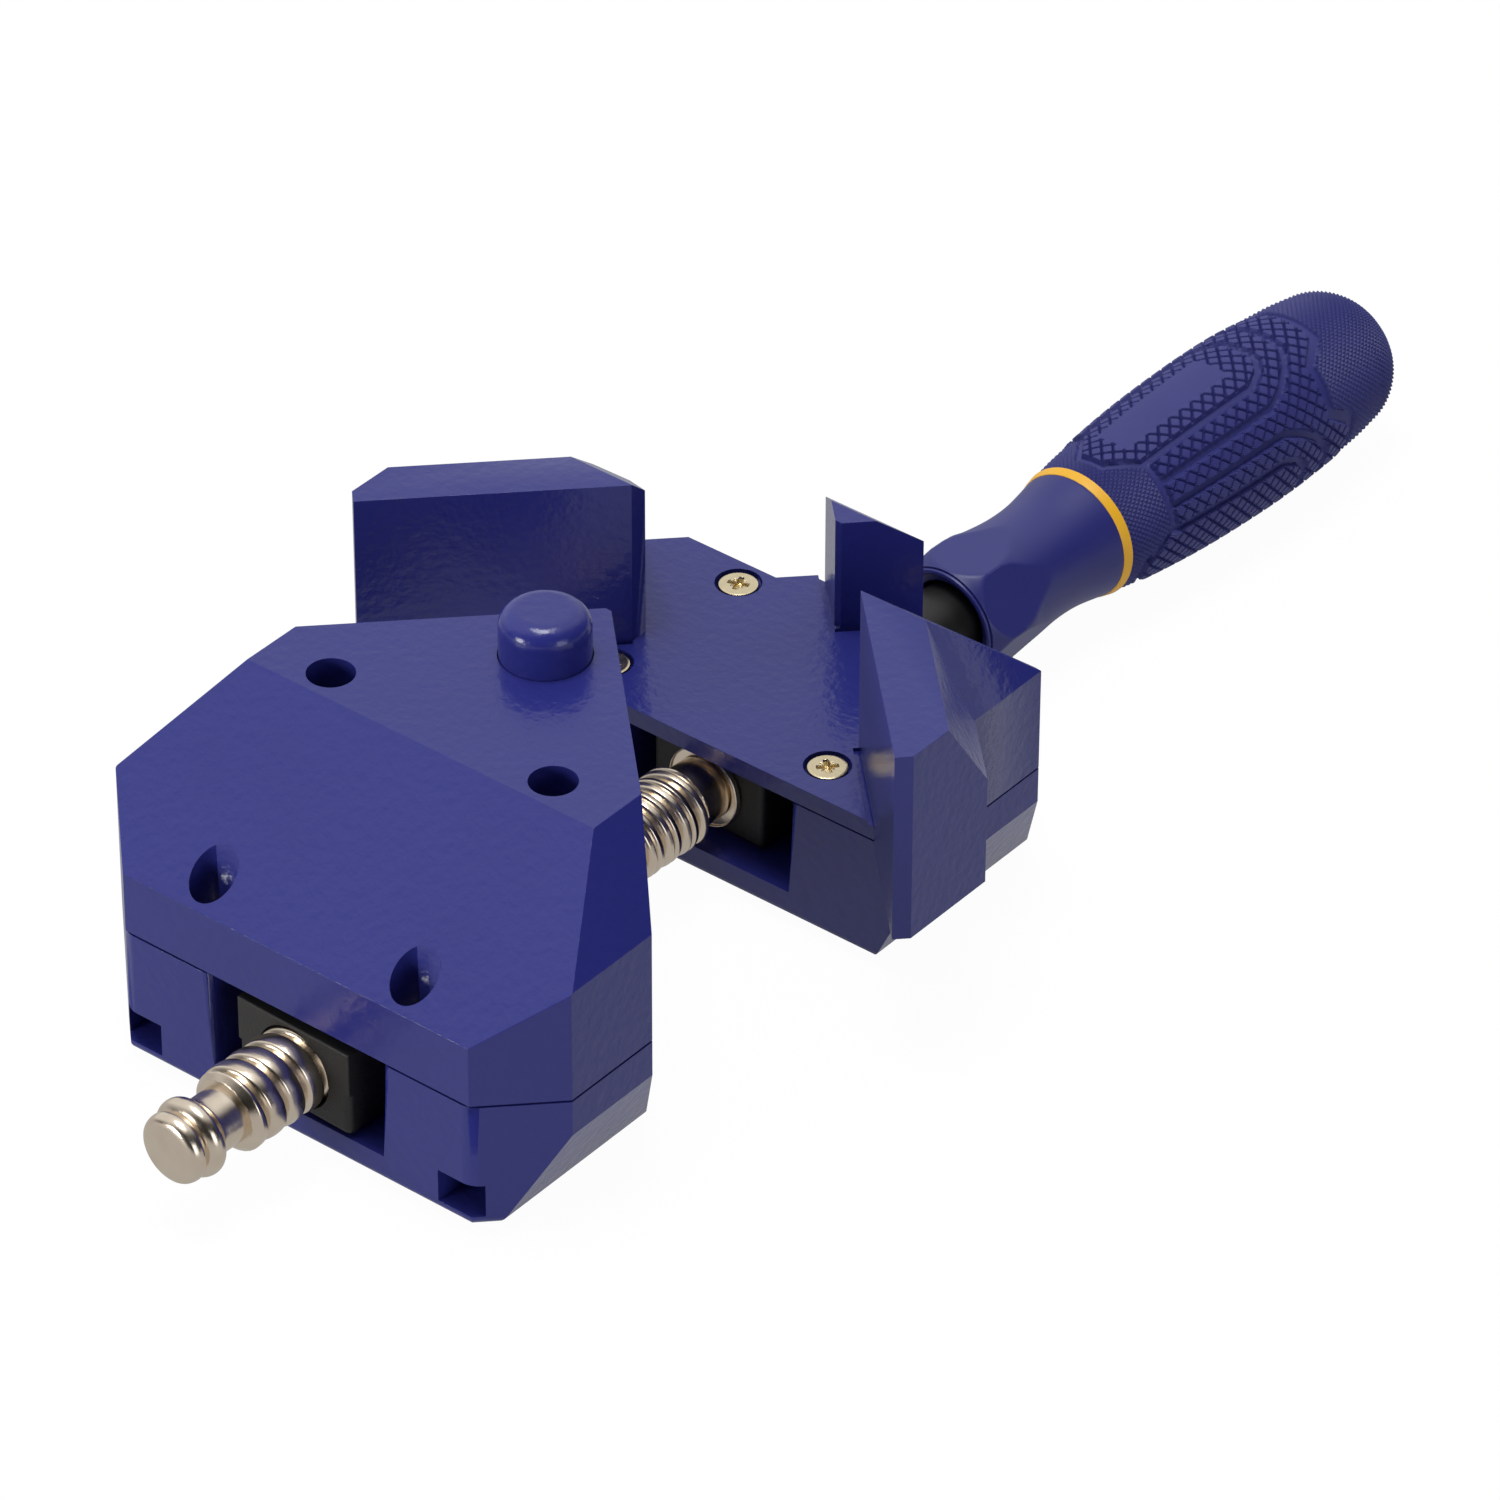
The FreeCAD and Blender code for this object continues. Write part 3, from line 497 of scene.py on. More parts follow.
# The rounded castings
@dataclass
class Casting:
    """A painted or bare casting: the node's own form with its outward edges rounded."""

    node: str
    body: str
    slot: Slot
    edge_radius: float = 0.6
    shortest_edge: float = 3.0
    least_angle: float = 25.0
    corner_radius: float = 0.0
    corner_length: float = 12.0
    foot_radius: float = 0.0
    foot_height: float = 0.2
    rim_radius: float = 0.25
    rim_angle: float = 60.0
    sharp_height: float | None = None
    upright_lean: float = 0.02
    corner_segments: int = 4
    edge_segments: int = 2
    wide_radius: float = 1.0
    wide_segments: int = 3

    def lies_at(self, edge: bmesh.types.BMEdge, height: float) -> bool:
        """Say whether both ends of an edge lie at a height, in millimetres."""
        return all(abs(vert.co.z / MM - height) < self.foot_height for vert in edge.verts)

    def stands(self, edge: bmesh.types.BMEdge) -> bool:
        """Say whether an edge is upright."""
        leaning = (edge.verts[0].co - edge.verts[1].co).xy.length
        return leaning < self.upright_lean * edge.calc_length()

    def off_the_seam(self, edges: list[bmesh.types.BMEdge]) -> list[bmesh.types.BMEdge]:
        """Leave out the edges where two halves meet, which stay sharp."""
        if self.sharp_height is None:
            return edges
        return [edge for edge in edges if not self.lies_at(edge, self.sharp_height)]

    def build(self) -> bpy.types.Object:
        """Copy the node, round its edges and dress it.

        Returns:
            The piece.
        """
        bm = merged_copy(self.node)
        if self.corner_radius:
            for edge in [e for e in outer_edges(bm, self.corner_length, self.least_angle) if self.stands(e)]:
                if edge.is_valid:
                    round_edges(bm, [edge], self.corner_radius, self.corner_segments)
        if self.foot_radius:
            foot = [e for e in outer_edges(bm, 0.0, self.least_angle) if self.lies_at(e, 0.0)]
            round_edges(bm, foot, self.foot_radius, self.corner_segments)
        chosen = self.off_the_seam(outer_edges(bm, self.shortest_edge, self.least_angle))
        wide = self.edge_radius > self.wide_radius
        round_edges(bm, chosen, self.edge_radius, self.wide_segments if wide else self.edge_segments)
        rims = [e for e in outer_edges(bm, 0.0, self.rim_angle) if e.calc_length() < self.shortest_edge * MM]
        round_edges(bm, self.off_the_seam(rims), self.rim_radius, self.edge_segments)
        return finish_piece(bm, self.node + "_finished", self.slot, self.body, [self.node])


@dataclass
class Screws:
    """Four cross-head screws sunk in the wells of a pair of castings, drawn from the castings' outer end."""

    node: str
    body: str
    origin: tuple[float, float]
    heading: float
    places: Outline = ((25.35, 6.2), (-25.35, 6.2), (27.9, 44.1), (-27.9, 44.1))
    turns: tuple[float, ...] = (20.0, 65.0, 8.0, 48.0)
    head_radius: float = 4.15
    seat: float = 30.3
    head_height: float = 2.4
    head_edge: Outline = ((-0.5, 0.0), (-0.15, -0.12), (0.0, -0.5))
    shank_radius: float = 2.1
    length: float = 20.0
    cross_reach: float = 2.3
    cross_half: float = 0.5
    cross_slope: tuple[float, float] = (-0.1, 0.12)
    cross_end: float = 0.5
    cross_depth: float = 1.4
    rib_reach: float = 1.9
    rib_half: float = 0.14
    rib_slope: tuple[float, float] = (-0.06, 0.1)
    rib_end: float = 0.3
    rib_depth: float = 0.35
    top_skin: float = 0.05
    columns: int = 120
    rings: int = 28

    def dip(self, across: float, along: float) -> float:
        """Depth of the cross recess, with the four fine ribs between its arms.

        Args:
            across: Distance from the head's centre one way.
            along: Distance the other way.

        Returns:
            The depth in millimetres.
        """
        near, far = sorted((abs(across), abs(along)))
        inner, outer = self.cross_slope
        cross = (1.0 - smoothstep(self.cross_half + inner, self.cross_half + outer, near)) * (
            1.0 - smoothstep(self.cross_reach - self.cross_end, self.cross_reach, far))
        off_rib = abs(far - near) / math.sqrt(2.0)
        inner, outer = self.rib_slope
        rib = (1.0 - smoothstep(self.rib_half + inner, self.rib_half + outer, off_rib)) * (
            1.0 - smoothstep(self.rib_reach - self.rib_end, self.rib_reach, math.hypot(near, far)))
        return max(self.cross_depth * cross, self.rib_depth * rib)

    def screw(self, turn: float) -> bmesh.types.BMesh:
        """Turn one screw along Z and press the recess into its head.

        Args:
            turn: How far the cross is turned, in degrees.

        Returns:
            The screw, with its axis on the origin.
        """
        top = self.seat + self.head_height
        outline = [(self.seat - self.length, 0.0), (self.seat - self.length, self.shank_radius)]
        outline += [(self.seat, self.shank_radius), (self.seat, self.head_radius)]
        outline += [(top + along, self.head_radius + out) for along, out in self.head_edge]
        flat = outline[-1][1]
        outline += [(top, flat * (1.0 - step / self.rings)) for step in range(1, self.rings + 1)]
        bm = lathe(outline, self.columns)
        bmesh.ops.rotate(bm, verts=bm.verts, cent=(0, 0, 0), matrix=Matrix.Rotation(math.pi / 2.0, 3, "X"))
        cosine, sine = math.cos(math.radians(turn)), math.sin(math.radians(turn))
        for vert in bm.verts:
            x, y, z = vert.co / MM
            if z > top - self.top_skin:
                vert.co.z -= self.dip(x * cosine + y * sine, y * cosine - x * sine) * MM
        return bm

    def build(self) -> bpy.types.Object:
        """Place the four screws.

        Returns:
            The piece.
        """
        bm = bmesh.new()
        for (x, y), turn in zip(self.places, self.turns):
            one = self.screw(turn)
            spot = Vector((self.origin[0] + self.heading * x, self.origin[1] + self.heading * y, 0.0)) * MM
            bmesh.ops.translate(one, verts=one.verts, vec=spot)
            add_shell(bm, one)
        return finish_piece(
            bm, self.node + "_cross_head", Slot.ZINC, self.body, [self.node], sharp_degrees=40.0)


# The spindle and the handle, both drawn straight along Y
def spindle_place() -> Matrix:
    """Place something drawn along Y, with distances counted as in the frame, on the spindle's axis.

    Returns:
        The transform.
    """
    turning = joint("spindle_turn")
    swinging = joint("spindle_swing")
    direction = -Vector(turning["axis"])
    pivot = Vector(swinging["pos_m"])
    height = Vector(turning["pos_m"]).z
    angle = -math.atan2(direction.x, direction.y)
    centre = Matrix.Translation(Vector((0.0, pivot.y, height)))
    return centre @ Matrix.Rotation(angle, 4, "Z") @ Matrix.Translation((0.0, -pivot.y, 0.0))


@dataclass
class Spindle:
    """The threaded spindle: a turned tip and neck, broad crests between narrow grooves, and a plain shank."""

    tip: float = -195.9
    thread_start: float = 15.6
    thread_end: float = -48.0
    shank_end: float = 36.0
    crest_radius: float = 8.8
    crest_drop: float = 0.45
    root_radius: float = 7.3
    pitch: float = 5.2
    groove_half: float = 0.85
    seam_half: float = 0.55
    seam_depth: float = 0.75
    seam_from: tuple[float, float] = (-150.0, -125.0)
    steps_per_turn: int = 60
    spare_turns: int = 2
    samples: int = 26
    tip_form: Outline = (
        (0.0, 5.6), (0.3, 6.5), (1.0, 7.2), (2.4, 7.5), (3.4, 7.1), (3.9, 6.3), (4.4, 7.2),
        (5.3, 8.1), (6.6, 8.4), (7.8, 8.0), (8.6, 6.9), (9.5, 6.2), (11.0, 6.1),
    )
    tip_steps: int = 3
    collar_radius: float = 6.9
    collar_overlap: float = 1.0
    shank_radius: float = 6.2
    end_round: float = 1.5

    def thread_radius(self, share: float, along: float) -> float:
        """Radius of the rolled thread's profile, whose crests have a second, finer groove away from the tip.

        Args:
            share: Place along one pitch, from 0 to 1, with the middle of the crest at 0.
            along: Place along the spindle.

        Returns:
            The radius in millimetres.
        """
        off_groove = abs(share - 0.5)
        crown = self.crest_drop * (1.0 - 2.0 * off_groove) ** 2
        notch = max(0.0, 1.0 - off_groove * self.pitch / self.groove_half)
        seam = max(0.0, 1.0 - (0.5 - off_groove) * self.pitch / self.seam_half)
        seam *= smoothstep(*self.seam_from, along)
        cut = notch * (self.crest_radius - self.root_radius - self.crest_drop) + seam * self.seam_depth
        return self.crest_radius - crown - cut

    def thread(self, start: float, end: float) -> bmesh.types.BMesh:
        """Wind one pitch of the thread's profile along a helix, with turns to spare, and cut it to length.

        Args:
            start: Where the stretch begins.
            end: Where it ends.

        Returns:
            A closed bmesh.
        """
        first = start - self.spare_turns * self.pitch
        turns = math.ceil((end - first) / self.pitch) + self.spare_turns

        def place(column: int, row: int) -> Place:
            share = row / self.samples
            angle = FULL_TURN * (column % self.steps_per_turn) / self.steps_per_turn
            along = first + (share + column / self.steps_per_turn) * self.pitch
            radius = self.thread_radius(share, along)
            return (radius * math.sin(angle), along, radius * math.cos(angle))

        bm = rolled_grid(self.steps_per_turn * turns, self.samples, place)
        for cut, outward in ((start, -1.0), (end, 1.0)):
            bmesh.ops.bisect_plane(
                bm, geom=bm.verts[:] + bm.edges[:] + bm.faces[:], dist=MERGE_DISTANCE,
                plane_co=(0, cut * MM, 0), plane_no=(0, outward, 0), clear_outer=True,
            )
        bmesh.ops.holes_fill(bm, edges=[e for e in bm.edges if e.is_boundary])
        bmesh.ops.recalc_face_normals(bm, faces=bm.faces)
        for vert in bm.verts:
            inward = min(vert.co.y / MM - start, end - vert.co.y / MM)
            room = self.crest_radius - max(0.0, self.end_round - inward)
            radius = math.hypot(vert.co.x, vert.co.z) / MM
            if radius > room:
                vert.co.x *= room / radius
                vert.co.z *= room / radius
        return bm

    def build(self, place: Matrix, ring_front: float) -> bpy.types.Object:
        """Build the spindle from its thread and the turned rod through it.

        Args:
            place: The transform to the spindle's axis.
            ring_front: Where the retaining ring begins.

        Returns:
            The piece.
        """
        bm = self.thread(self.tip + self.thread_start, self.thread_end)
        curve = smooth_line(self.tip_form, self.tip_steps)
        rod = [(self.tip, 0.0)] + [(self.tip + along, radius) for along, radius in curve]
        collar_start = self.thread_end - self.collar_overlap
        rod += [(collar_start, self.tip_form[-1][1]), (collar_start, self.collar_radius)]
        rod += [(ring_front, self.collar_radius), (ring_front, self.shank_radius)]
        rod += [(self.shank_end, self.shank_radius), (self.shank_end, 0.0)]
        add_shell(bm, lathe(rod, 2 * self.steps_per_turn))
        bmesh.ops.transform(bm, matrix=place, verts=bm.verts)
        return finish_piece(
            bm, "threaded_spindle", Slot.NICKEL, "spindle", ["spindle_screw"], sharp_degrees=50.0)


@dataclass
class RetainingRing:
    """The bright ring that holds the spindle in the thrust block, with a raised rounded rim."""

    node: str = "front_retaining_ring"
    inner_radius: float = 6.3
    outer_radius: float = 9.0
    length: float = 1.2
    rim_width: float = 0.5
    rim_height: float = 0.5
    rim_round: tuple[float, float] = (0.08, 0.15)
    columns: int = 120

    def front(self, place: Matrix) -> float:
        """Where the ring begins along the spindle, worked out from the node that it stands for."""
        turned = place.inverted()
        corners = frame["nodes"][self.node].data.vertices
        return max((turned @ vert.co).y for vert in corners) / MM - self.length

    def build(self, place: Matrix) -> bpy.types.Object:
        """Turn the ring.

        Args:
            place: The transform to the spindle's axis.

        Returns:
            The piece.
        """
        start = self.front(place)
        end = start + self.length
        face = start + self.rim_height
        middle = self.outer_radius - self.rim_width / 2.0
        drop, half = self.rim_round
        outline = [
            (end, self.inner_radius), (face, self.inner_radius), (face, self.outer_radius - self.rim_width),
            (start + drop, middle - half), (start, middle), (start + drop, middle + half),
            (face, self.outer_radius), (end, self.outer_radius),
        ]
        bm = lathe(outline, self.columns, closed=True)
        bmesh.ops.transform(bm, matrix=place, verts=bm.verts)
        return finish_piece(
            bm, self.node + "_rim", Slot.NICKEL, "spindle", [self.node], sharp_degrees=50.0)


@dataclass
class Handle:
    """The handle: a hexagonal collar and neck, a thin band and a knurled soft grip."""

    band: float = 75.2
    band_start: float = 0.2
    band_end: float = 2.5
    band_radius: float = 14.35
    band_depth: float = 3.0
    band_edge: float = 0.2
    band_crest: float = 0.45
    band_lip: float = 0.25
    band_columns: int = 144
    collar_front: float = -41.6
    collar_flats: int = 6
    flat_turn: float = 59.0
    across_flats: float = 25.6
    flats_end: float = -18.0
    bore_radius: float = 8.8
    bore_depth: float = 11.0
    shank_hole: float = 6.3
    hole_depth: float = 8.0
    lip: Outline = (
        (2.4, 8.8), (1.7, 9.2), (1.2, 10.7), (0.3, 11.2), (0.0, 11.7),
        (0.15, 12.2), (0.5, 12.35), (0.8, 12.2),
    )
    neck: Outline = (
        (-40.8, 12.7), (-36.4, 14.7), (-30.0, 14.4), (-24.5, 13.3), (-16.4, 12.5), (-8.5, 12.7), (0.0, 14.1),
    )
    neck_steps: int = 8
    neck_columns: int = 192
    grip: Outline = (
        (2.5, 14.6), (8.4, 15.8), (26.0, 17.6), (42.5, 18.4), (59.0, 18.5), (78.5, 17.4), (86.0, 16.4),
    )
    grip_steps: int = 16
    grip_end: float = 99.0
    columns: int = 320
    rows: int = 232
    row: float = 0.36

    def collar(self, place: Matrix) -> bpy.types.Object:
        """Turn the collar and neck, then cut the six flats round the collar.

        Args:
            place: The transform to the spindle's axis.

        Returns:
            The piece.
        """
        bore_floor = self.collar_front + self.bore_depth
        hole_floor = bore_floor + self.hole_depth
        outline = [(hole_floor, 0.0), (hole_floor, self.shank_hole)]
        outline += [(bore_floor, self.shank_hole), (bore_floor, self.bore_radius)]
        outline += [(self.collar_front + along, radius) for along, radius in self.lip]
        outline += smooth_line(self.neck, self.neck_steps)
        outline += [(self.band_end, self.neck[-1][1]), (self.band_end, 0.0)]
        bm = lathe([(self.band + along, radius) for along, radius in outline], self.neck_columns)
        flat = self.across_flats / 2.0
        turn = FULL_TURN / self.collar_flats
        for vert in bm.verts:
            along = vert.co.y / MM - self.band
            radius = math.hypot(vert.co.x, vert.co.z) / MM
            if along > self.flats_end:
                continue
            angle = math.atan2(vert.co.x, vert.co.z) - math.radians(self.flat_turn)
            off = (angle + turn / 2.0) % turn - turn / 2.0
            room = flat / math.cos(off)
            if radius > room:
                vert.co.x *= room / radius
                vert.co.z *= room / radius
        bmesh.ops.transform(bm, matrix=place, verts=bm.verts)
        return finish_piece(
            bm, "handle_neck", Slot.BLUE_PLASTIC, "spindle", ["handle_core"], sharp_degrees=25.0)

    def ring(self, place: Matrix) -> bpy.types.Object:
        """Turn the thin band, slightly proud of the neck."""
        inner = self.band_radius - self.band_depth
        outer = self.band_radius
        edge = self.band_edge
        outline = [
            (self.band_start, inner), (self.band_start, outer - edge), (self.band_start + edge, outer),
            (self.band_end - edge, outer + self.band_crest), (self.band_end, outer + self.band_lip),
            (self.band_end, inner),
        ]
        outline = [(self.band + along, radius) for along, radius in outline]
        bm = lathe(outline, self.band_columns, closed=True)
        bmesh.ops.transform(bm, matrix=place, verts=bm.verts)
        return finish_piece(bm, "handle_band_ring", Slot.YELLOW_PLASTIC, "spindle", ["handle_band"])

    def build(self, place: Matrix) -> list[bpy.types.Object]:
        """Build the collar and neck, the band and the grip.

        Args:
            place: The transform to the spindle's axis.

        Returns:
            The pieces.
        """
        return [self.collar(place), self.ring(place), Grip(self).build(place)]


@dataclass
class Grip:
    """The soft grip and the knurl moulded into it.

    Three like fields go round the grip. Each has two nested grooves, a band of fine knurl at
    either end and coarse knurl between, and one of them has a smooth pad. Places on it are a
    distance from the neck's end and a distance round from the middle of the nearest field.
    """

    handle: Handle
    fields: int = 3
    first_field: float = -3.5
    mean_radius: float = 17.5
    fine_starts: int = 80
    coarse_starts: int = 32
    fine_rows: int = 4
    coarse_rows: int = 10
    groove_half: float = 0.9
    border_half: float = 0.8
    rear_border_half: float = 1.3
    inner_groove: Outline = ((9.5, 14.8), (9.5, 49.6), (7.4, 54.2), (5.0, 56.4), (0.0, 56.4))
    outer_groove: Outline = ((15.3, 14.8), (15.3, 50.5), (13.0, 56.0), (9.6, 61.0), (6.0, 63.9), (0.0, 63.9))
    front_border: Outline = ((0.0, 7.0), (3.7, 7.0), (10.1, 14.8), (19.0, 14.8))
    rear_border: Outline = ((0.0, 73.4), (7.9, 73.4), (12.8, 66.2), (19.0, 66.2))
    pad_half: float = 4.3
    pad_start: float = 14.0
    pad_end: float = 47.5
    pad_edge: float = 0.5
    fine_depth: float = 0.42
    coarse_depth: float = 0.7
    coarse_line: tuple[float, float] = (0.03, 0.11)
    groove_depth: float = 1.2
    groove_slope: tuple[float, float] = (-0.2, 0.15)
    fine_top: float = 0.25
    pad_depth: float = 0.15
    pole_radius: float = 8.0
    pole_fade: float = 2.0
    plain_radius: float = 0.5
    plain_start: float = 0.1
    least_bend: float = 0.03

    def line_distance(self, line: Outline, around: float, along: float) -> float:
        """Distance from a place on the grip to a groove's line.

        Args:
            line: The groove's line, as distance round and distance along.
            around: The place's distance round from the field's middle.
            along: The place's distance from the neck's end.

        Returns:
            The distance in millimetres.
        """
        best = math.inf
        for (u0, s0), (u1, s1) in zip(line, line[1:]):
            du, ds = u1 - u0, s1 - s0
            share = ((around - u0) * du + (along - s0) * ds) / (du * du + ds * ds)
            share = min(1.0, max(0.0, share))
            best = min(best, math.hypot(around - u0 - share * du, along - s0 - share * ds))
        return best

    def border(self, line: Outline, around: float) -> float:
        """Where a border lies along the grip, at a distance round it."""
        for (u0, s0), (u1, s1) in zip(line, line[1:]):
            if around <= u1:
                return s0 + (s1 - s0) * (around - u0) / (u1 - u0)
        return line[-1][1]

    def cell(self, starts: int, lead: int, turn: float, rows: float) -> float:
        """How far a place is from the nearest line of a diamond knurl.

        Args:
            starts: How many lines start round the grip.
            lead: After how many rows of the mesh one line takes the next one's place.
            turn: The place's share of a whole turn.
            rows: The place's distance from the grip's start, counted in rows.

        Returns:
            From 0 on a line to 0.5 in the middle of a diamond.
        """
        right = starts * turn + rows / lead
        left = starts * turn - rows / lead
        return min(abs(right - round(right)), abs(left - round(left)))

    def relief(self, turn: float, along: float, radius: float) -> float:
        """Depth of the moulded pattern below the grip's full radius.

        Args:
            turn: The place's share of a whole turn from the top.
            along: The place's distance from the neck's end, measured over the surface.
            radius: The grip's full radius there.

        Returns:
            The depth in millimetres.
        """
        field_turn = (turn - self.first_field / 360.0) * self.fields
        off_turn = field_turn - round(field_turn)
        around = abs(off_turn) / self.fields * FULL_TURN * self.mean_radius
        front = self.border(self.front_border, around)
        rear = self.border(self.rear_border, around)
        rows = (along - self.handle.band_end) / self.handle.row
        if along < front or along > rear:
            fade = smoothstep(self.pole_radius, self.pole_radius + self.pole_fade, radius)
            fine = self.cell(self.fine_starts, self.fine_rows, turn, rows)
            depth = self.fine_top + self.fine_depth * fade * (1.0 - 2.0 * fine)
        else:
            coarse = self.cell(self.coarse_starts, self.coarse_rows, turn, rows)
            depth = self.coarse_depth * (1.0 - smoothstep(*self.coarse_line, coarse))
        if round(field_turn) % self.fields == 0:
            beside = max(abs(around) - self.pad_half, self.pad_start - along, along - self.pad_end)
            depth += (self.pad_depth - depth) * (1.0 - smoothstep(0.0, self.pad_edge, beside))
        inner, outer = self.groove_slope
        for line, half in (
            (self.inner_groove, self.groove_half), (self.outer_groove, self.groove_half),
            (self.front_border, self.border_half), (self.rear_border, self.rear_border_half),
        ):
            edge = smoothstep(half + inner, half + outer, self.line_distance(line, around, along))
            depth += (self.groove_depth - depth) * (1.0 - edge)
        return depth

    def build(self, place: Matrix) -> bpy.types.Object:
        """Turn the grip and press the pattern into it.

        Args:
            place: The transform to the spindle's axis.

        Returns:
            The piece.
        """
        handle = self.handle
        curve = smooth_line(handle.grip, handle.grip_steps)
        outline = [(handle.band_end, 0.0)]
        for step in range(handle.rows + 1):
            along = handle.band_end + step * handle.row
            outline.append((along, self.border(curve, along)))
        dome_start, dome_radius = outline[-1]
        span = handle.grip_end - dome_start
        dome_rows = round(math.pi / 4.0 * (span + dome_radius) / handle.row)
        for step in range(1, dome_rows):
            angle = math.pi / 2.0 * step / dome_rows
            outline.append((dome_start + span * math.sin(angle), dome_radius * math.cos(angle)))
        outline.append((handle.grip_end, 0.0))
        bm = lathe([(handle.band + along, radius) for along, radius in outline], handle.columns)
        for vert in bm.verts:
            radius = math.hypot(vert.co.x, vert.co.z) / MM
            along = vert.co.y / MM - handle.band
            if radius < self.plain_radius or along < handle.band_end + self.plain_start:
                continue
            over_dome = min(1.0, max(0.0, (along - dome_start) / span))
            surface = min(along, dome_start) + math.asin(over_dome) * 2.0 / math.pi * dome_rows * handle.row
            turn = math.atan2(vert.co.x, vert.co.z) / FULL_TURN
            lowered = (radius - self.relief(turn, surface, radius)) / radius
            vert.co.x *= lowered
            vert.co.z *= lowered
        self.crease(bm)
        bmesh.ops.transform(bm, matrix=place, verts=bm.verts)
        return finish_piece(
            bm, "knurled_grip", Slot.BLUE_RUBBER, "spindle", ["handle_grip"], sharp_degrees=38.0)

    def crease(self, bm: bmesh.types.BMesh) -> None:
        """Split each bent face along its valley, so that the knurl's lines stay unbroken both ways.

        Args:
            bm: The grip, still straight along Y.
        """
        for face in bm.faces[:]:
            if len(face.verts) != 4:
                continue
            first, second, third, fourth = face.verts
            bend = sum(
                side * math.hypot(vert.co.x, vert.co.z)
                for side, vert in ((1.0, first), (1.0, third), (-1.0, second), (-1.0, fourth))
            )
            if abs(bend) > self.least_bend * MM:
                bmesh.utils.face_split(face, *((first, third) if bend < 0.0 else (second, fourth)))


@dataclass
class ReleaseSpring:
    """The coil spring under the release lever, which the button presses together."""

    node: str = "release_spring"
    body: str = "moving_jaw"
    pressed_by: str = "button_press"
    press: float = 5.0

    def build(self) -> bpy.types.Object:
        """Copy the node and give the piece a mesh of its own.

        Returns:
            The piece.
        """
        bm = merged_copy(self.node)
        low = min((vert.co for vert in bm.verts), key=lambda place: place.z).copy()
        piece = finish_piece(
            bm, self.node + "_coil", Slot.SPRING, self.body, [self.node], sharp_degrees=60.0)
        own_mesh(piece)
        return piece


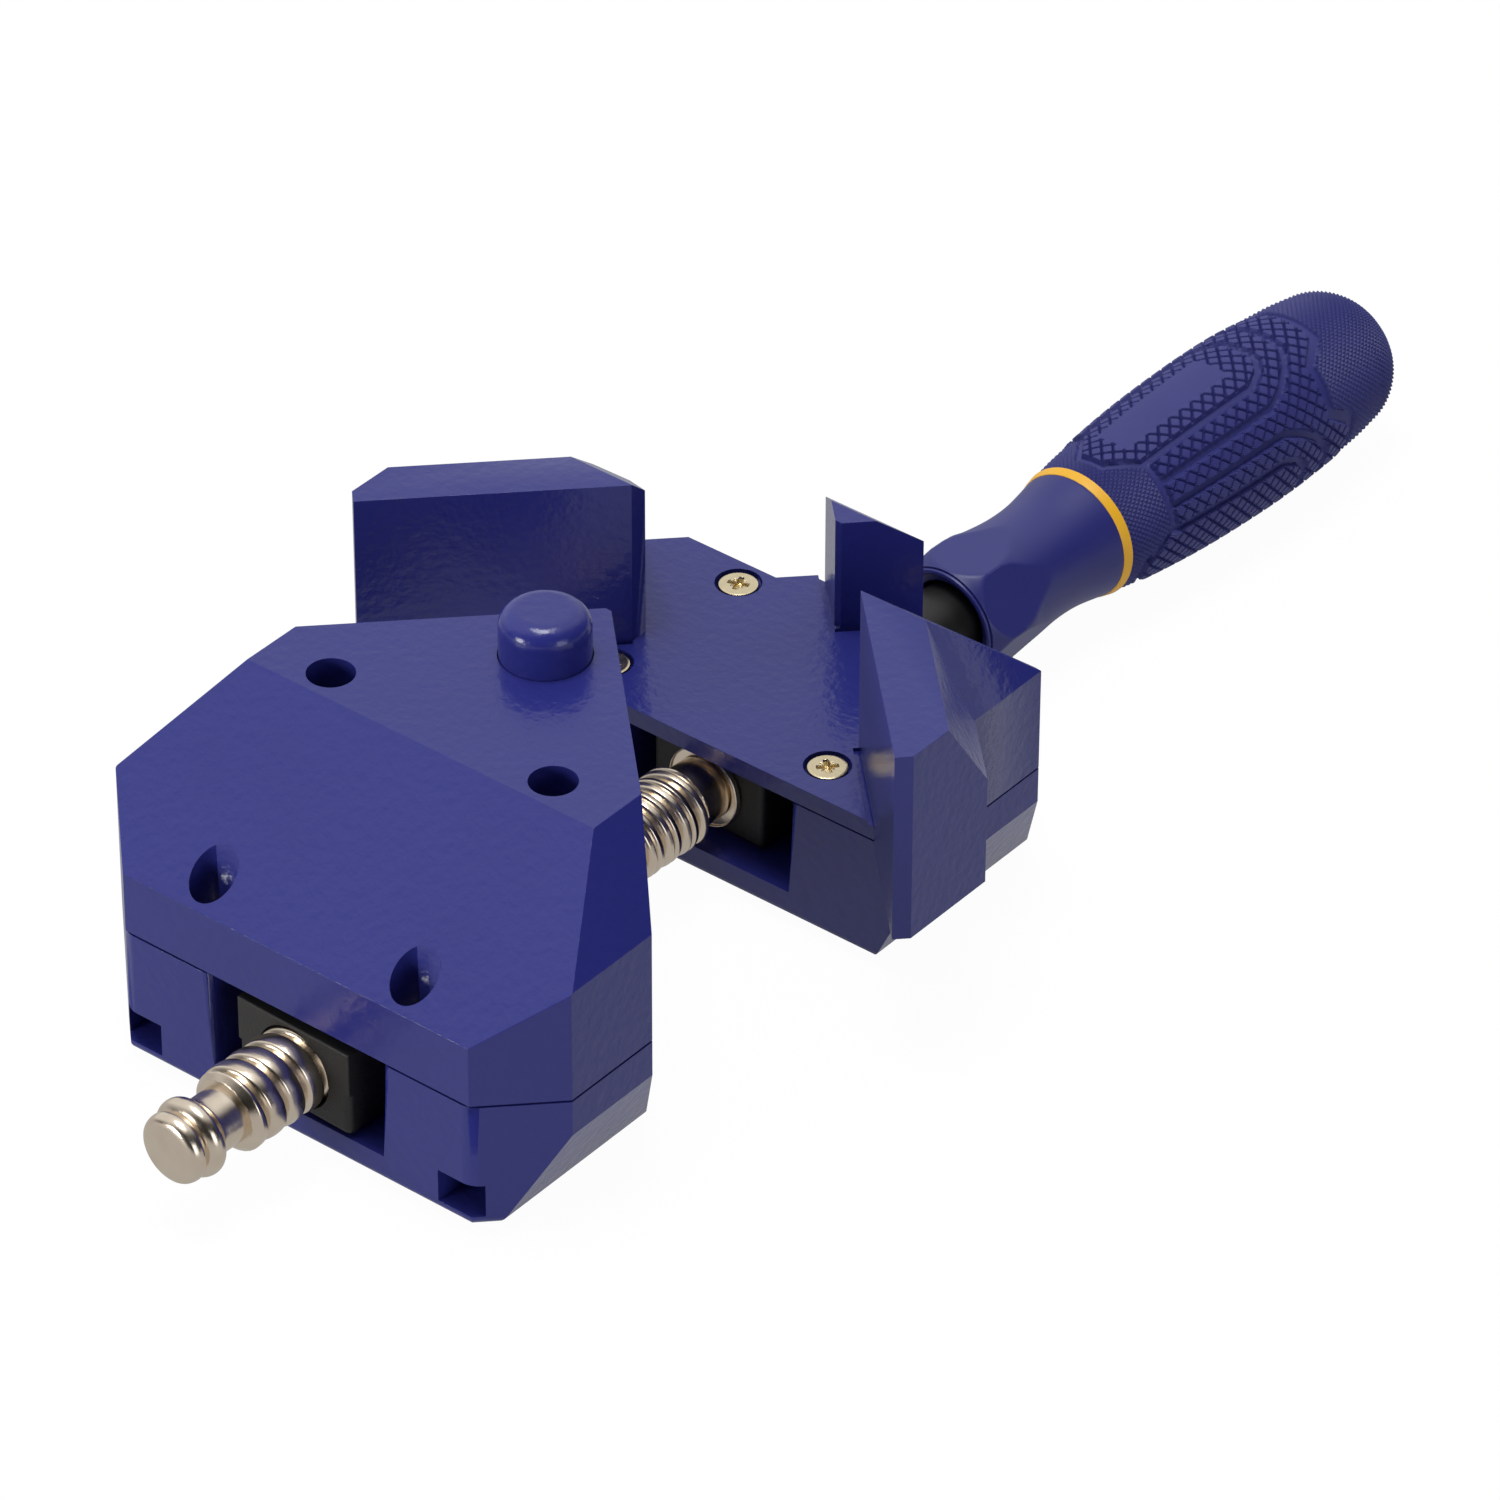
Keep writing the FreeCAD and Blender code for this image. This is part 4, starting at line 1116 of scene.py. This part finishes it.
# The studio
@dataclass
class Studio:
    """Floor, light and camera. Places and sizes are metres, the lens and its sensor millimetres."""

    floor_size: float = 12.0
    floor_gap: float = 0.0001
    camera_place: Place = (0.8932044, -1.1398772, 1.05821)
    camera_target: Place = (-0.0173413, -0.0056285, -0.0021609)
    camera_roll: float = 0.196
    camera_lens: float = 211.08
    camera_sensor: float = 36.0
    camera_reach: float = 50.0
    bright_side: Place = (-0.55, 0.35, 0.76)
    room_stops: tuple[tuple[float, str], ...] = (
        (0.0, "#151517"), (0.3, "#3c3b3c"), (0.7, "#e8e8ea"), (0.93, "#e2e2e2"),
    )
    room_strength: float = 1.0
    floor_glow: float = 1.03
    floor_mirrored: float = 0.5
    floor_share: float = 0.94

    def floor(self) -> None:
        """Lay a pale floor that shows white and keeps a soft shadow."""
        bm = bmesh.new()
        bmesh.ops.create_grid(bm, x_segments=1, y_segments=1, size=self.floor_size / 2.0)
        bmesh.ops.translate(bm, verts=bm.verts, vec=(0, 0, cad_box[0].z - self.floor_gap))
        mesh = bpy.data.meshes.new("studio_floor")
        bm.to_mesh(mesh)
        bm.free()
        floor = bpy.data.objects.new("studio_floor", mesh)
        bpy.context.scene.collection.objects.link(floor)
        material = bpy.data.materials.new("white_studio_paper")
        material.use_nodes = True
        tree = material.node_tree
        tree.nodes.clear()
        rays = add_node(tree, "ShaderNodeLightPath").outputs
        direct = add_node(
            tree, "ShaderNodeMath",
            links={0: rays["Is Camera Ray"], 1: rays["Is Transmission Ray"]}, operation="MAXIMUM",
        ).outputs[0]
        seen = add_node(
            tree, "ShaderNodeMath", links={0: direct, 1: rays["Is Glossy Ray"]}, operation="MAXIMUM",
        ).outputs[0]
        power = add_node(
            tree, "ShaderNodeMath",
            {1: self.floor_glow - self.floor_mirrored, 2: self.floor_mirrored}, {0: direct},
            operation="MULTIPLY_ADD",
        ).outputs[0]
        paper = add_node(tree, "ShaderNodeBsdfDiffuse", {"Color": linear("#cfcfcf")}).outputs[0]
        glow = add_node(
            tree, "ShaderNodeEmission", {"Color": linear("#ffffff")}, {"Strength": power},
        ).outputs[0]
        share = add_node(
            tree, "ShaderNodeMath", {1: self.floor_share}, {0: seen}, operation="MULTIPLY",
        ).outputs[0]
        mixed = add_node(tree, "ShaderNodeMixShader", links={0: share, 1: paper, 2: glow}).outputs[0]
        add_node(tree, "ShaderNodeOutputMaterial", links={"Surface": mixed})
        mesh.materials.append(material)

    def world(self) -> None:
        """Fill the room with light that is strongest above and behind on the left, and weak on the right."""
        world = bpy.data.worlds.new("studio_room")
        bpy.context.scene.world = world
        world.use_nodes = True
        tree = world.node_tree
        tree.nodes.clear()
        direction = add_node(tree, "ShaderNodeTexCoord").outputs["Generated"]
        towards = add_node(
            tree, "ShaderNodeVectorMath",
            {1: Vector(self.bright_side).normalized()}, {0: direction}, operation="DOT_PRODUCT",
        ).outputs["Value"]
        ramp = add_node(tree, "ShaderNodeValToRGB", links={"Fac": towards})
        stops = ramp.color_ramp.elements
        stops[0].position, stops[0].color = self.room_stops[0][0], linear(self.room_stops[0][1])
        stops[1].position, stops[1].color = self.room_stops[-1][0], linear(self.room_stops[-1][1])
        for position, colour in self.room_stops[1:-1]:
            stops.new(position).color = linear(colour)
        back = add_node(
            tree, "ShaderNodeBackground", {"Strength": self.room_strength}, {"Color": ramp.outputs["Color"]},
        )
        add_node(tree, "ShaderNodeOutputWorld", links={"Surface": back.outputs["Background"]})

    def lamp(self, name: str, place: Place, size: float, watts: float, hex_colour: str = "#ffffff") -> None:
        """Hang one soft box that faces the clamp.

        Args:
            name: The lamp's name.
            place: Where it hangs, in metres.
            size: Its width in metres.
            watts: Its power.
            hex_colour: Its colour.
        """
        data = bpy.data.lights.new(name, "AREA")
        data.shape = "SQUARE"
        data.size = size
        data.energy = watts
        data.color = linear(hex_colour)[:3]
        lamp = bpy.data.objects.new(name, data)
        lamp.location = place
        lamp.rotation_euler = (-Vector(place)).to_track_quat("-Z", "Y").to_euler()
        bpy.context.scene.collection.objects.link(lamp)

    def camera(self) -> None:
        """Set the camera at the photograph's place."""
        data = bpy.data.cameras.new("studio_camera")
        data.lens = self.camera_lens
        data.sensor_width = self.camera_sensor
        data.clip_end = self.camera_reach
        camera = bpy.data.objects.new("studio_camera", data)
        place = Vector(self.camera_place)
        gaze = (Vector(self.camera_target) - place).to_track_quat("-Z", "Y").to_matrix().to_4x4()
        roll = Matrix.Rotation(math.radians(self.camera_roll), 4, "Z")
        camera.matrix_world = Matrix.Translation(place) @ gaze @ roll
        bpy.context.scene.collection.objects.link(camera)
        bpy.context.scene.camera = camera

    def build(self) -> None:
        """Build the whole studio."""
        self.floor()
        self.world()
        self.lamp("top_softbox", place=(-0.1, -0.1, 1.9), size=0.7, watts=17.0)
        self.lamp("front_softbox", place=(-0.5, -1.5, 0.3), size=0.5, watts=10.0)
        self.lamp("right_softbox", place=(1.7, -0.5, 0.4), size=0.9, watts=6.5, hex_colour="#f4f6ff")
        self.camera()
        bpy.context.scene.view_settings.view_transform = "Standard"


def dress_nodes() -> None:
    """Give every node of the frame the finish of its slot in the record."""
    for part in frame["record"]["subparts"]:
        mesh = frame["nodes"][part["node"]].data
        mesh.materials.clear()
        mesh.materials.append(SLOT_FINISH[Slot(part["material_slot"])].material())


def main() -> None:
    """Build the clamp piece by piece, then the studio."""
    dress_nodes()
    place = spindle_place()
    for casting in (
        Casting("base_lower_casting", "fixed_body", Slot.BLUE_PAINT, corner_radius=2.0, foot_radius=1.8),
        Casting("base_upper_casting", "fixed_body", Slot.BLUE_PAINT),
        Casting("jaw_lower_casting", "moving_jaw", Slot.BLUE_PAINT, corner_radius=2.0, foot_radius=1.8),
        Casting("jaw_upper_casting", "moving_jaw", Slot.BLUE_PAINT),
        Casting("thrust_block_lower", "thrust_block", Slot.BLACK_CAST, edge_radius=1.5, sharp_height=16.5),
        Casting("thrust_block_upper", "thrust_block", Slot.BLACK_CAST, edge_radius=1.5, sharp_height=16.5),
        Casting("nut_block_lower", "nut_block", Slot.BLACK_CAST, edge_radius=1.5, sharp_height=16.5),
        Casting("nut_block_upper", "nut_block", Slot.BLACK_CAST, edge_radius=1.5, sharp_height=16.5),
    ):
        casting.build()
    Screws("base_screws", "fixed_body", origin=(0.0, 6.6), heading=-1.0).build()
    Screws("jaw_screws", "moving_jaw", origin=(-3.606, -161.042), heading=1.0).build()
    ring = RetainingRing()
    ring.build(place)
    Spindle().build(place, ring.front(place))
    Handle().build(place)
    ReleaseSpring().build()
    Studio().build()


if __name__ == "__main__":
    main()
